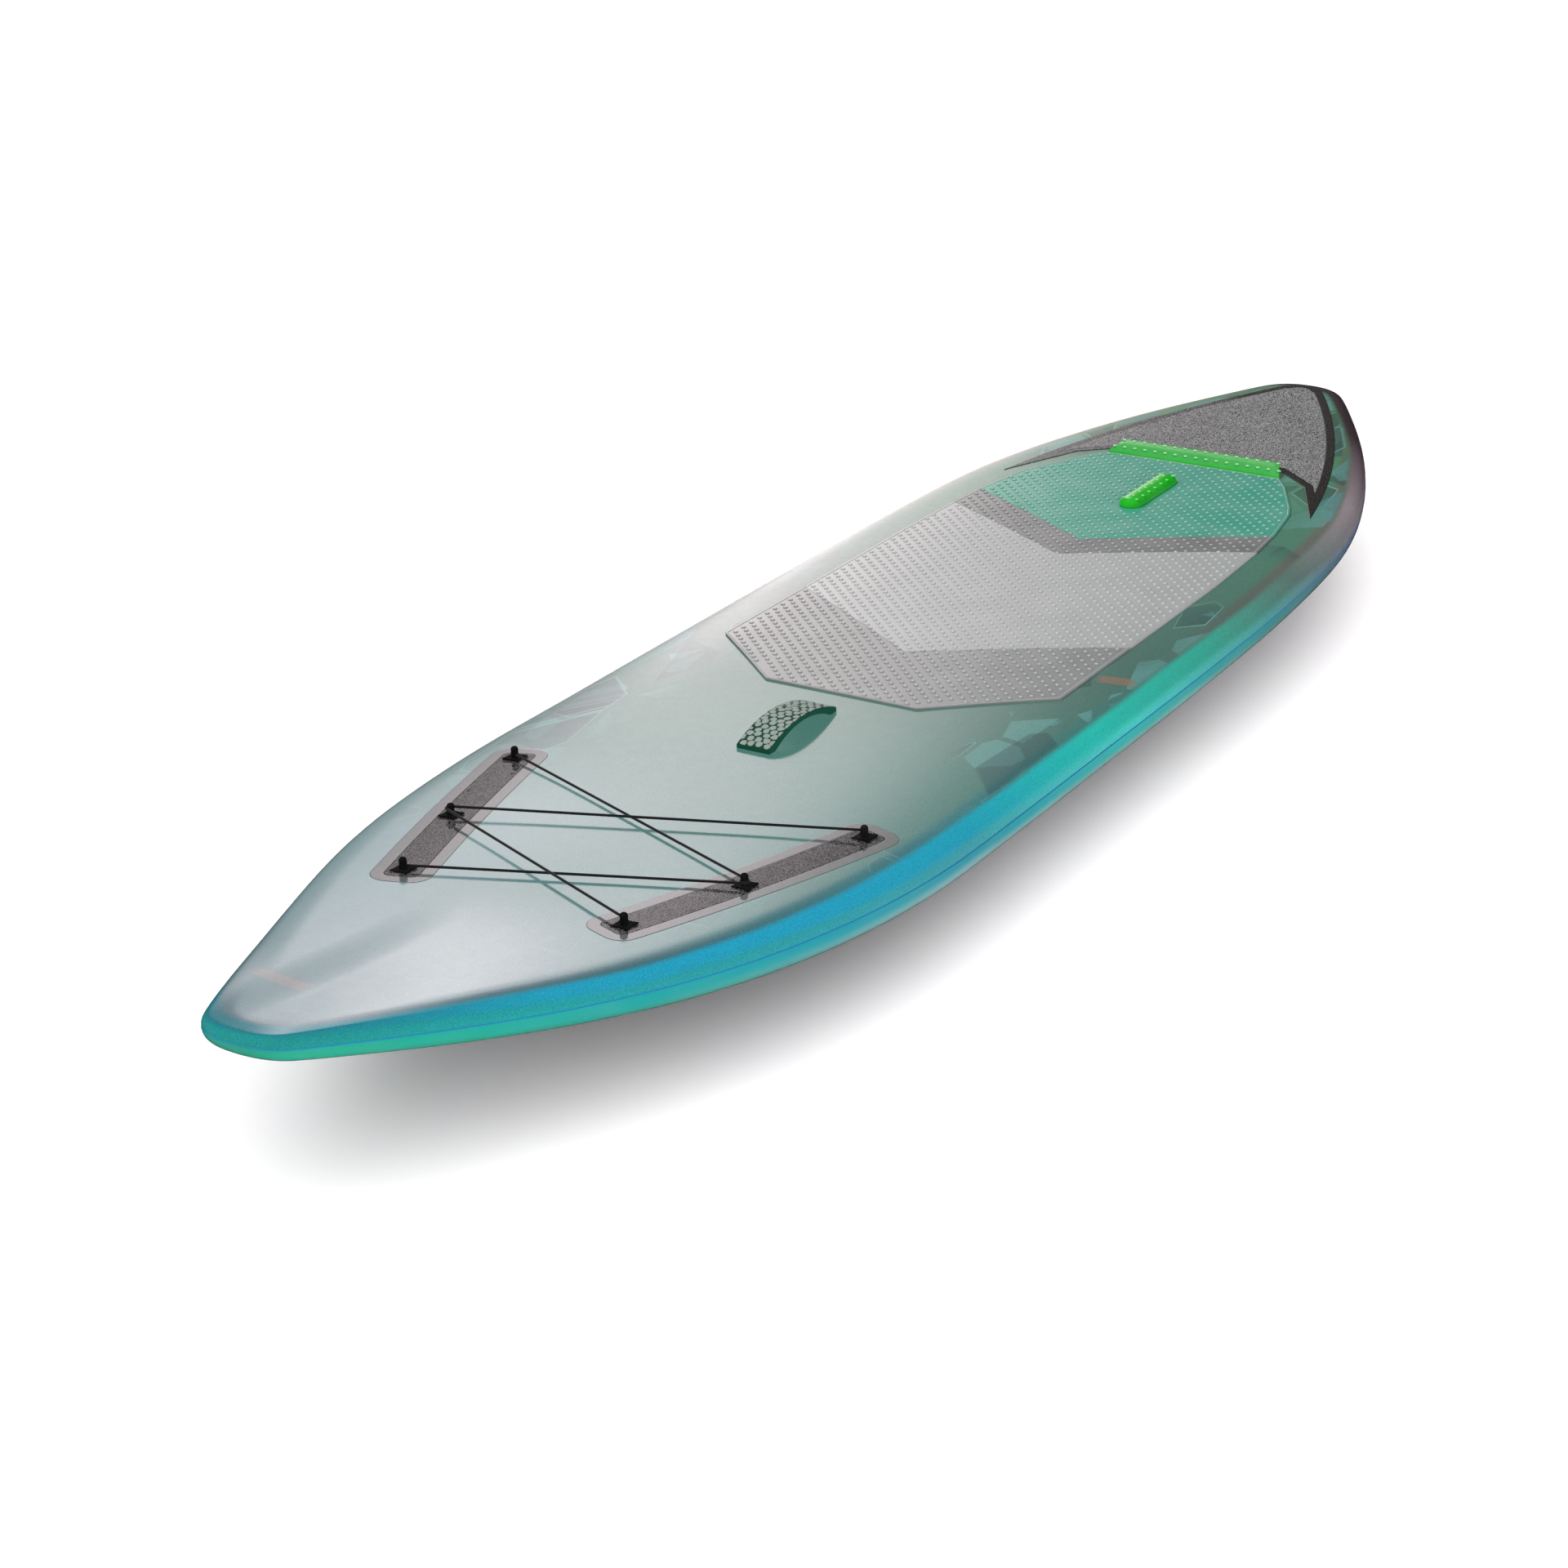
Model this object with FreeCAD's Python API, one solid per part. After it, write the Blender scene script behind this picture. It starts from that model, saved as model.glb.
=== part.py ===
"""Stand up paddleboard, 3.2 m long, as an assembly of separate pieces.

Millimetres. +X points to the nose, +Y to port, +Z up. The origin is on the ground
under the middle of the board, and the tip of the fin touches the ground.
"""
import FreeCAD, Part
import math
import os

from FreeCAD import Placement, Rotation, Vector

os.makedirs("parts", exist_ok=True)

# ---------------------------------------------------------------- board body
LENGTH = 3200.0
HALF_LENGTH = LENGTH / 2
CROWN = 12.0                # how far the deck falls from its middle to the rail
CROWN_HALF_WIDTH = 400.0
CROWN_POWER = 4
SKIN = 3.0                  # laminate thickness
SEAM_RATIO = 0.53           # height of the widest line, as a share of the thickness
DECK_ROLL = 35.0            # width of the rolled deck edge where the board is thick
BILGE_ROLL = 62.0           # width of the rolled bottom edge
DECK_ROLL_POWER = 2.45      # superellipse powers of the two rolled edges
BILGE_ROLL_POWER = 2.15
FULL_THICKNESS = 110.0      # thickness at which the rolls have their full width
LEAST_ROLL = 0.4
SPINE_HALF = 1520.0         # half the length of the centreline that the ribs fan out from
LENGTH_PATCHES = 8          # the body's surface is split along and round it, into small faces
ROUND_PATCHES = 6
FLAT_DEPTH = 1.0            # planing flat: how far the lowest bottom is levelled

STATIONS = (-1600, -1280, -960, -640, -320, 0, 320, 640, 960, 1280, 1600)
HALF_WIDTHS = (62, 247, 362, 396, 401, 401, 402, 398, 341, 215, 55)
ROCKER_STATIONS = (-1600, -1200, -800, 0, 800, 1200, 1600)
DECK_LINE = (14, 3, -0.5, 0, 6.5, 26.5, 78.5)      # deck centreline, from its mid height
THICKNESSES = (60, 74, 84, 105, 94, 70, 37)
NOSE_CAP = (35.0, 2.5)      # length of the rounded end, and its superellipse power
TAIL_CAP = (47.0, 2.6)

# ---------------------------------------------------------------- fin and its box
FIN_X = -1270.0
FIN_DEPTH = 215.0
FIN_ROOT_LENGTH = 205.0
FIN_THICKNESS = 9.6
BOX_SIZE = (292.0, 27.0, 29.0)
BOX_SLOT = (266.0, 9.9, 25.0)
BOX_CHANNEL = (16.0, 8.6, 13.4)      # width, lower and upper height of the side grooves
BOX_MOUTH = 16.0                     # length of the gap that the pin and plate go in by
TAB_THICKNESS = 9.4
TAB_REAR, TAB_STEP, TAB_FRONT = -84.0, 52.0, 80.0
TAB_TOP, EAR_TOP = 22.0, 7.0
PIN_U, PIN_W, PIN_RADIUS = -74.0, 11.0, 2.0
SCREW_U, SCREW_RADIUS, SCREW_LENGTH = 68.0, 2.0, 17.0
NUT_PLATE = (15.0, 15.2, 3.0)
BOX_BLOCK = (340.0, 76.0)

# ---------------------------------------------------------------- deck fittings
POSTS = ((1030.0, 181.0), (838.0, 245.0), (612.0, 298.0))     # port side, nose to tail
POST_NAMES = ("front", "middle", "rear")
POST_RADIUS = 5.5
POST_HEIGHT = 18.5
POST_DOME = 4.5
PLATE_SIDE = 27.0
PLATE_HOLLOW = 2.2          # how far each side of the base plate curves in
PLATE_THICKNESS = 2.2
STUD_RADIUS = 3.0
STUD_RISE = 8.0
STUD_DEPTH = 24.0
INSERT_RADIUS = 10.0
INSERT_DEPTH = 30.0
BORE_GAP = 0.02
STRIP_LINE = ((1030.0, 179.0), (838.0, 238.5), (612.0, 297.0))    # middle of the port strip
STRIP_WIDTH = 53.0
STRIP_OVERRUN = 24.0
STRIP_CORNER = 12.0
STRIP_THICKNESS = 1.2
BORDER_WIDTH = 16.0
BORDER_THICKNESS = 1.0

CORD_RADIUS = 2.0
CORD_RISES = (6.4, 11.0)    # heights of the two cords above the base plates' underside
WRAP_RADIUS = 6.3

HANDLE_X = (237.0, 428.0)
HANDLE_HALF_WIDTH = 28.5
HANDLE_GAP = 20.0
HANDLE_THICKNESS = 6.0
HANDLE_FOOT = 17.0
HANDLE_STUD_INSET = 9.0
HANDLE_SKIN = 1.6
HANDLE_BLOCK_MARGIN = 22.0

PAD_THICKNESS = 5.0
PAD_FRONT, PAD_FRONT_HALF = 178.0, 134.0
PAD_CORNER = (33.0, 302.0)
PAD_PORT_EDGE = ((-533, 299), (-707, 292), (-800, 283), (-900, 265), (-937, 250), (-1028, 200), (-1066, 172))
CHEVRONS = ((-19.0, -209.0), (-536.0, -708.0), (-619.0, -795.0))     # point and ends, in X
CHEVRON_HALF = 300.0
KICK_X = (-1066.0, -1104.0)
KICK_HALF = (172.0, 151.0)
KICK_HEIGHT = 17.0
KICK_LEAN = 7.0
ARCH_BAR_X = (-975.0, -797.0)
ARCH_BAR_WIDTH = 42.0
ARCH_BAR_HEIGHT = 14.0
GRIP_THICKNESS = 1.4
GRIP_BORDER = 16.0
GRIP_FRONT = ((-1110, 150), (-1053, 225), (-907, 300))
GRIP_SIDE = ((-907, 300), (-1233, 205), (-1560, 38))
GRIP_TAIL = -1576.0

STRINGER = 6.0
SEAM_HEIGHT = 3.0
SEAM_PROUD = 0.5

UP = Vector(0, 0, 1)
FAR = 2000.0


# ---------------------------------------------------------------- curves and the hull form
def through(stations, values, x):
    """A smooth line through the values: cubic pieces with averaged slopes."""
    x = min(max(x, stations[0]), stations[-1])
    last = len(stations) - 1
    steps = [(values[i + 1] - values[i]) / (stations[i + 1] - stations[i]) for i in range(last)]

    def slope(i):
        if i == 0:
            return 1.5 * steps[0] - 0.5 * slope(1)
        if i == last:
            return 1.5 * steps[-1] - 0.5 * slope(last - 1)
        before = stations[i] - stations[i - 1]
        after = stations[i + 1] - stations[i]
        return (steps[i - 1] * after + steps[i] * before) / (before + after)

    i = 0
    while x > stations[i + 1]:
        i += 1
    span = stations[i + 1] - stations[i]
    t = (x - stations[i]) / span
    rise = t * t * (3 - 2 * t)
    lead = t * (1 - t) * (1 - t) * slope(i) * span
    tail = t * t * (t - 1) * slope(i + 1) * span
    return values[i] + (values[i + 1] - values[i]) * rise + lead + tail


def half_width(x):
    return through(STATIONS, HALF_WIDTHS, x)


def thickness(x):
    return through(ROCKER_STATIONS, THICKNESSES, x)


def deck_line(x):
    return through(ROCKER_STATIONS, DECK_LINE, x)


def bottom_slope(x):
    reach = 60.0
    rise = (deck_line(x + reach) - thickness(x + reach)) - (deck_line(x - reach) - thickness(x - reach))
    return math.atan2(rise, 2 * reach)


FIN_TILT = bottom_slope(FIN_X)
FIN_TIP_U = -108.0          # front end of the fin's tip, along the slot
FIN_Z = FIN_DEPTH * math.cos(FIN_TILT) - FIN_TIP_U * math.sin(FIN_TILT)
DECK_MID_Z = FIN_Z - deck_line(FIN_X) + thickness(FIN_X)


def deck_z(x, y):
    return DECK_MID_Z + deck_line(x) - CROWN * abs(y / CROWN_HALF_WIDTH) ** CROWN_POWER


def bottom_z(x):
    return DECK_MID_Z + deck_line(x) - thickness(x)


def seam_z(x):
    return bottom_z(x) + SEAM_RATIO * thickness(x)


def power_of(value, power):
    return max(value, 0.0) ** (2.0 / power)


def plan_outline():
    """The port side of the outline from the tail's tip to the nose's tip."""
    angles = [math.radians(a) for a in (90, 81, 70, 57, 42, 22)]
    tail_start = -HALF_LENGTH + TAIL_CAP[0]
    nose_start = HALF_LENGTH - NOSE_CAP[0]
    points = []
    for a in angles:
        x = tail_start - TAIL_CAP[0] * power_of(math.sin(a), TAIL_CAP[1])
        points.append((x, half_width(x) * power_of(math.cos(a), TAIL_CAP[1])))
    rows = 34
    for i in range(rows + 1):
        x = tail_start + (nose_start - tail_start) * i / rows
        points.append((x, half_width(x)))
    for a in reversed(angles):
        x = nose_start + NOSE_CAP[0] * power_of(math.sin(a), NOSE_CAP[1])
        points.append((x, half_width(x) * power_of(math.cos(a), NOSE_CAP[1])))
    points[0] = (-HALF_LENGTH, 0.0)
    points[-1] = (HALF_LENGTH, 0.0)
    return points


def rib(edge, centre, inset):
    """Control points of one rib, from the deck's centreline over the rail to the bottom's."""
    edge = Vector(edge[0], edge[1], 0)
    centre = Vector(centre, 0, 0)
    inward = (centre - edge).normalize()
    edge = edge + inward * inset
    reach = (centre - edge).Length
    share = min(max(thickness(edge.x) / FULL_THICKNESS, LEAST_ROLL), 1.2)
    deck_roll = DECK_ROLL * share - 0.5 * inset
    bilge_roll = BILGE_ROLL * share - 0.5 * inset
    points = []

    def add(offset, height):
        place = edge + inward * offset
        points.append(Vector(place.x, place.y, height(place)))

    def deck_height(place):
        return deck_z(place.x, place.y) - inset

    def deck_middle(place):
        return deck_z(place.x, 0) - inset

    def bottom_height(place):
        return bottom_z(place.x) + inset

    for part in (1.0, 0.88):
        add(deck_roll + (reach - deck_roll) * part, deck_middle)
    for part in (0.65, 0.4, 0.18):
        add(deck_roll + (reach - deck_roll) * part, deck_height)
    for degrees in (90, 75, 60, 45, 30, 15, 0):
        a = math.radians(degrees)
        rise = power_of(math.sin(a), DECK_ROLL_POWER)
        offset = deck_roll * (1 - power_of(math.cos(a), DECK_ROLL_POWER))
        add(offset, lambda p, r=rise: seam_z(p.x) + (deck_height(p) - seam_z(p.x)) * r)
    for degrees in (15, 30, 45, 60, 75, 90):
        a = math.radians(degrees)
        drop = power_of(math.sin(a), BILGE_ROLL_POWER)
        offset = bilge_roll * (1 - power_of(math.cos(a), BILGE_ROLL_POWER))
        add(offset, lambda p, d=drop: seam_z(p.x) - (seam_z(p.x) - bottom_height(p)) * d)
    for part in (0.25, 0.6, 1.0):
        add(bilge_roll + (reach - bilge_roll) * part, bottom_height)
    return points


def clamped(count, degree=3):
    """Even knots and their multiplicities for a spline that meets its end points."""
    inner = count - degree - 1
    return [degree + 1] + [1] * inner + [degree + 1], list(range(inner + 2))


def spaced(last_knot, count):
    """Whole knots that split a spline's range into about equal runs."""
    return [round(last_knot * i / count) for i in range(count + 1)]


def board_body(inset):
    """The whole board as one closed solid, made smaller all round by the inset."""
    outline = plan_outline()
    run = [0.0]
    for a, b in zip(outline, outline[1:]):
        run.append(run[-1] + math.hypot(b[0] - a[0], b[1] - a[1]))
    spine = SPINE_HALF - inset
    rows = [rib(p, spine * (2 * s / run[-1] - 1), inset) for p, s in zip(outline, run)]
    u_mults, u_knots = clamped(len(rows))
    v_mults, v_knots = clamped(len(rows[0]))
    surface = Part.BSplineSurface()
    surface.buildFromPolesMultsKnots(rows, u_mults, v_mults, u_knots, v_knots, False, False, 3, 3)
    faces = []
    u_cuts = spaced(u_knots[-1], LENGTH_PATCHES)
    v_cuts = spaced(v_knots[-1], ROUND_PATCHES)
    for u_from, u_to in zip(u_cuts, u_cuts[1:]):
        for v_from, v_to in zip(v_cuts, v_cuts[1:]):
            patch = surface.copy()
            patch.segment(u_from, u_to, v_from, v_to)
            port = patch.toShape()
            faces += [port, mirrored(port)]
    shell = Part.Shell(faces)
    shell.sewShape()
    body = Part.Solid(shell)
    if body.Volume < 0:
        body.reverse()
    return body


# ---------------------------------------------------------------- small helpers
def box(low, high):
    return Part.makeBox(high[0] - low[0], high[1] - low[1], high[2] - low[2], Vector(*low))


def face_of(points):
    """A flat face on the plan, from a closed list of corners."""
    corners = [Vector(x, y, 0) for x, y in points]
    return Part.Face(Part.makePolygon(corners + corners[:1]))


def prism(face, low, high):
    lifted = face.copy()
    lifted.translate(Vector(0, 0, low))
    return lifted.extrude(Vector(0, 0, high - low))


def both_sides(points):
    """The port corners of an outline, then the starboard ones on the way back."""
    return list(points) + [(x, -y) for x, y in reversed(points)]


def lifted(shape, rise):
    copy = shape.copy()
    copy.translate(Vector(0, 0, rise))
    return copy


def mirrored(shape):
    return shape.mirror(Vector(0, 0, 0), Vector(0, 1, 0))


def solids_only(shape):
    """The shape's solids, as one solid or a group, cleaned of needless edges."""
    solids = [s.removeSplitter() for s in shape.Solids]
    return solids[0] if len(solids) == 1 else Part.makeCompound(solids)


def on_deck(face, body, rise):
    """A sheet of even height that lies on the deck, with the outline of the face."""
    block = prism(face, DECK_MID_Z - 60, DECK_MID_Z + 120)
    return block.common(lifted(body, rise)).cut(body)


def upright(x, y, low, high, radius):
    return Part.makeCylinder(radius, high - low, Vector(x, y, low))


def saved(name, shape):
    shape = solids_only(shape)
    good = shape.isValid() and all(s.isClosed() for s in shape.Solids)
    print(f"{name:28s} solids {len(shape.Solids)}  volume {shape.Volume / 1000:10.2f} cm3  ok {good}")
    shape.exportStep(f"parts/{name}.step")


# ---------------------------------------------------------------- bungee posts, strips and cords
def post_places():
    return [(name, side, x, y * sign)
            for side, sign in (("port", 1), ("starboard", -1))
            for name, (x, y) in zip(POST_NAMES, POSTS)]


def post_foot(x, y):
    """Height of the underside of a post's base plate."""
    return deck_z(x, y) + STRIP_THICKNESS


def plate_face(x, y):
    half = PLATE_SIDE / 2
    corners = [(half, half), (-half, half), (-half, -half), (half, -half)]
    edges = []
    for a, b in zip(corners, corners[1:] + corners[:1]):
        middle = Vector((a[0] + b[0]) / 2, (a[1] + b[1]) / 2, 0)
        waist = middle * ((half - PLATE_HOLLOW) / half)
        edges.append(Part.Arc(Vector(*a, 0), waist, Vector(*b, 0)).toShape())
    face = Part.Face(Part.Wire(edges))
    face.translate(Vector(x, y, 0))
    return face


def bungee_post(x, y, cord_rise, sheet_top):
    foot = post_foot(x, y)
    plate = prism(plate_face(x, y), foot - 4, foot + PLATE_THICKNESS)
    stem = upright(x, y, foot - 4, foot + POST_HEIGHT, POST_RADIUS)
    rim = [e for e in stem.Edges if abs(e.BoundBox.ZMin - foot - POST_HEIGHT) < 0.01]
    stem = stem.makeFillet(POST_DOME, [e for e in rim if e.BoundBox.ZLength < 0.01])
    post = plate.fuse(stem)
    post = post.cut(sheet_top.common(box((x - 30, y - 30, foot - 40), (x + 30, y + 30, foot + 40))))
    post = post.cut(upright(x, y, foot - 9, foot + STUD_RISE / 2, STUD_RADIUS + BORE_GAP))
    centre = Vector(x, y, foot + cord_rise)
    return post, centre


def cord_path(start, turn, end, radius):
    """From start, round the far side of turn, to end: two runs and one tangent arc."""
    normal = (start - turn).cross(end - turn).normalize()
    ends = []
    for far in (start, end):
        reach = far - turn
        distance = reach.Length
        along = reach.normalize()
        across = normal.cross(along)
        if across.dot(start + end - turn * 2) > 0:
            across = across * -1
        sine = radius / distance
        cosine = math.sqrt(1 - sine * sine)
        ends.append(turn + along * (radius * sine) + across * (radius * cosine))
    outward = (turn * 2 - start - end).normalize()
    first, last = ends
    runs = [Part.LineSegment(start, first), Part.Arc(first, turn + outward * radius, last),
            Part.LineSegment(last, end)]
    return Part.Wire([r.toShape() for r in runs])


def cord_solid(path, radius):
    begin = path.Edges[0]
    section = Part.Wire([Part.makeCircle(radius, begin.valueAt(begin.FirstParameter),
                                         begin.tangentAt(begin.FirstParameter))])
    tube = path.makePipeShell([section], True, False)
    ideal = math.pi * radius * radius * path.Length
    print(f"  cord length {path.Length:.1f} mm, volume over section x length {tube.Volume / ideal:.4f}")
    return tube


def strip_core(grow):
    """One port strip's plan: a band along a slight arc under its posts, with rounded corners."""
    points = [Vector(x, y, 0) for x, y in STRIP_LINE]
    arc = Part.Arc(*points).toShape()
    centre = arc.Curve.Center
    radius = arc.Curve.Radius
    start = math.atan2(points[0].y - centre.y, points[0].x - centre.x)
    stop = math.atan2(points[-1].y - centre.y, points[-1].x - centre.x)
    over = math.copysign((STRIP_OVERRUN - STRIP_CORNER) / radius, stop - start)
    half = STRIP_WIDTH / 2 - STRIP_CORNER
    angles = (start - over, (start + stop) / 2, stop + over)

    def at(r, a):
        return Vector(centre.x + r * math.cos(a), centre.y + r * math.sin(a), 0)

    outer = [at(radius + half, a) for a in angles]
    inner = [at(radius - half, a) for a in reversed(angles)]
    edges = [Part.Arc(*outer).toShape(), Part.makeLine(outer[-1], inner[0]),
             Part.Arc(*inner).toShape(), Part.makeLine(inner[-1], outer[0])]
    return Part.Face(Part.Wire(edges)).makeOffset2D(grow)


# ---------------------------------------------------------------- handle
def handle_profile(low, foot, rise, skin):
    """Side view of an arched strap: its upper arc, its ends and the arc over the fingers."""
    rear, front = HANDLE_X
    middle = (rear + front) / 2
    ground = deck_z(middle, 0)

    def at(x, z):
        return Vector(x, 0, ground + z)

    upper = Part.Arc(at(rear, rise), at(middle, HANDLE_GAP + rise), at(front, rise))
    lower = Part.Arc(at(front - foot, skin), at(middle, HANDLE_GAP + skin), at(rear + foot, skin))
    edges = [upper.toShape()]
    if low < skin:
        corners = [at(front, rise), at(front, low), at(front - foot, low), at(front - foot, skin)]
        edges += [Part.makeLine(a, b) for a, b in zip(corners, corners[1:])]
        edges.append(lower.toShape())
        corners = [at(rear + foot, skin), at(rear + foot, low), at(rear, low), at(rear, rise)]
        edges += [Part.makeLine(a, b) for a, b in zip(corners, corners[1:])]
    else:
        edges += [Part.makeLine(at(front, rise), at(front, skin)), lower.toShape(),
                  Part.makeLine(at(rear, skin), at(rear, rise))]
    return Part.Face(Part.Wire(edges))


def handle_solid(profile, half):
    face = profile.copy()
    face.translate(Vector(0, -half, 0))
    return face.extrude(Vector(0, 2 * half, 0))


def handle_stud_places():
    return [(HANDLE_X[0] + HANDLE_STUD_INSET, 0.0), (HANDLE_X[1] - HANDLE_STUD_INSET, 0.0)]


# ---------------------------------------------------------------- pads and grips
def pad_face():
    port = [(PAD_FRONT, PAD_FRONT_HALF), PAD_CORNER] + list(PAD_PORT_EDGE)
    return face_of(both_sides(port))


def rounded_corners(solid, places, radius):
    """Fillets the upright edges that stand at the given plan positions."""
    edges = []
    for x, y in places:
        for edge in solid.Edges:
            middle = edge.BoundBox.Center
            upright_edge = edge.BoundBox.XLength < 0.01 and edge.BoundBox.YLength < 0.01
            if upright_edge and abs(middle.x - x) < 0.5 and abs(abs(middle.y) - y) < 0.5:
                edges.append(edge)
    return solid.makeFillet(radius, edges)


def zone_face(front, rear):
    """The plan between two chevrons, each given as its point and its ends in X."""
    slope = 1.15
    half = CHEVRON_HALF * slope

    def at(chevron, y):
        return chevron[0] + (chevron[1] - chevron[0]) * y / CHEVRON_HALF

    port = [(at(front, half), half), (at(rear, half), half)]
    points = [(front[0], 0)] + port + [(rear[0], 0)] + [(x, -y) for x, y in reversed(port)]
    return face_of(points)


def arch_bar(sheet_top):
    rear, front = ARCH_BAR_X
    half = ARCH_BAR_WIDTH / 2
    middle = (rear + front) / 2
    low = deck_z(middle, 0) + PAD_THICKNESS
    top = low + ARCH_BAR_HEIGHT
    ends = [Part.Arc(Vector(front - half, half, 0), Vector(front, 0, 0), Vector(front - half, -half, 0)),
            Part.Arc(Vector(rear + half, -half, 0), Vector(rear, 0, 0), Vector(rear + half, half, 0))]
    sides = [Part.makeLine(Vector(front - half, -half, 0), Vector(rear + half, -half, 0)),
             Part.makeLine(Vector(rear + half, half, 0), Vector(front - half, half, 0))]
    wire = Part.Wire([ends[0].toShape(), sides[0], ends[1].toShape(), sides[1]])
    bar = prism(Part.Face(wire), low - 6, top)
    rim = [e for e in bar.Edges if e.BoundBox.ZMin > top - 0.01]
    bar = bar.makeFillet(11.0, rim)
    return bar.cut(sheet_top)


def kick_pad(body):
    """A wedge across the back of the pad with a leaning front face."""
    low = DECK_MID_Z - 30
    levels = ((low, 0.0), (deck_z(KICK_X[0], 0) + KICK_HEIGHT, KICK_LEAN))
    wires = []
    for z, lean in levels:
        corners = [Vector(x, y, z) for x, y in both_sides(
            [(KICK_X[0] - lean, KICK_HALF[0] - lean / 2), (KICK_X[1], KICK_HALF[1])])]
        wires.append(Part.makePolygon(corners + corners[:1]))
    wedge = Part.makeLoft(wires, True, True)
    top = levels[1][0]
    rim = [e for e in wedge.Edges if e.BoundBox.ZMin > top - 0.01]
    wedge = wedge.makeFillet(2.5, rim)
    return wedge.cut(body)


def tail_grip_face():
    front = [Vector(x, y, 0) for x, y in GRIP_FRONT]
    side = [Vector(x, y, 0) for x, y in GRIP_SIDE]

    def flipped(points):
        return [Vector(p.x, -p.y, 0) for p in points]

    end = Part.Arc(side[-1], Vector(GRIP_TAIL, 0, 0), flipped(side)[-1]).toShape()
    corners = list(reversed(flipped(front))) + front
    edges = [Part.makeLine(a, b) for a, b in zip(corners, corners[1:])]
    edges += [Part.Arc(*side).toShape(), end, Part.Arc(*reversed(flipped(side))).toShape()]
    return Part.Face(Part.Wire(edges))


# ---------------------------------------------------------------- fin, in its own tilted frame
def placed_at_fin(shape):
    """Moves a shape from the slot's frame (U forward, W up into the board) to its place."""
    copy = shape.copy()
    turn = Rotation(Vector(0, 1, 0), -math.degrees(FIN_TILT))
    copy.Placement = Placement(Vector(FIN_X, 0, bottom_z(FIN_X)), turn).multiply(copy.Placement)
    return copy


def foil_wire(nose, tail, thick, w):
    """A symmetric foil section at height w, from its leading edge to its trailing edge."""
    chord = nose - tail
    stations = ((0.0, 0.0), (0.04, 0.55), (0.14, 0.88), (0.33, 1.0), (0.62, 0.72), (0.86, 0.32))
    tail_half = 0.45
    edges = []
    for side in (1, -1):
        points = [Vector(nose - chord * t, side * thick / 2 * h, w) for t, h in stations]
        points.append(Vector(tail, side * tail_half, w))
        if side < 0:
            points.reverse()
        skin = Part.BSplineCurve()
        skin.interpolate(points)
        edges.append(skin.toShape())
    tail_line = Part.makeLine(Vector(tail, tail_half, w), Vector(tail, -tail_half, w))
    return Part.Wire([edges[0], tail_line, edges[1]])


def fin_solid():
    half = FIN_ROOT_LENGTH / 2
    gap = 0.6
    sections = ((half - 2, -half + 4, FIN_THICKNESS, -gap), (half - 42, -half - 8, 8.6, -0.30 * FIN_DEPTH),
                (half - 96, -half - 36, 7.0, -0.62 * FIN_DEPTH), (half - 150, -half - 66, 4.8, -0.86 * FIN_DEPTH),
                (FIN_TIP_U, -half - 84, 3.0, -FIN_DEPTH))
    blade = Part.makeLoft([foil_wire(*s) for s in sections], True, False)
    half_tab = TAB_THICKNESS / 2
    tab = box((TAB_REAR, -half_tab, -gap), (TAB_STEP, half_tab, TAB_TOP))
    ear = box((TAB_STEP - 1, -half_tab, -gap), (TAB_FRONT, half_tab, EAR_TOP))
    fin = blade.fuse(tab.fuse(ear).removeSplitter())
    screw_way = Part.makeCylinder(SCREW_RADIUS + 0.15, 40, Vector(SCREW_U, 0, -20))
    head_seat = Part.makeCone(SCREW_RADIUS + 2.4, SCREW_RADIUS + 0.15, 2.4, Vector(SCREW_U, 0, -gap))
    below = Part.makeCylinder(SCREW_RADIUS + 2.4, 30, Vector(SCREW_U, 0, -gap - 30))
    pin_way = Part.makeCylinder(PIN_RADIUS + BORE_GAP, 40, Vector(PIN_U, -20, PIN_W), Vector(0, 1, 0))
    return fin.cut([screw_way, head_seat, below, pin_way])


def fin_screw():
    low = -0.5
    head = Part.makeCone(SCREW_RADIUS + 2.2, SCREW_RADIUS, 2.2, Vector(SCREW_U, 0, low))
    shank = Part.makeCylinder(SCREW_RADIUS, SCREW_LENGTH, Vector(SCREW_U, 0, low))
    slot = box((SCREW_U - 5, -0.5, low - 1), (SCREW_U + 5, 0.5, low + 0.9))
    return head.fuse(shank).cut(slot)


def fin_pin():
    return Part.makeCylinder(PIN_RADIUS, NUT_PLATE[1], Vector(PIN_U, -NUT_PLATE[1] / 2, PIN_W), Vector(0, 1, 0))


def fin_nut_plate():
    long, wide, thick = NUT_PLATE
    low = BOX_CHANNEL[1] + 0.5
    plate = box((SCREW_U - long / 2, -wide / 2, low), (SCREW_U + long / 2, wide / 2, low + thick))
    return plate.cut(Part.makeCylinder(SCREW_RADIUS + BORE_GAP, 40, Vector(SCREW_U, 0, -10)))


def fin_box_block(grow_u=0.0, grow_v=0.0, low=-40.0, high=BOX_SIZE[2]):
    long, wide, _ = BOX_SIZE
    return box((-long / 2 - grow_u, -wide / 2 - grow_v, low), (long / 2 + grow_u, wide / 2 + grow_v, high))


def fin_box(body):
    block = placed_at_fin(fin_box_block()).common(body)
    long, wide, deep = BOX_SLOT
    slot = box((-long / 2, -wide / 2, -50), (long / 2, wide / 2, deep))
    channel_wide, channel_low, channel_high = BOX_CHANNEL
    channel = box((-long / 2, -channel_wide / 2, channel_low), (long / 2, channel_wide / 2, channel_high))
    mouth = box((-BOX_MOUTH / 2, -channel_wide / 2, -50), (BOX_MOUTH / 2, channel_wide / 2, channel_high))
    return block.cut([placed_at_fin(s) for s in (slot, channel, mouth)])


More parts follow.
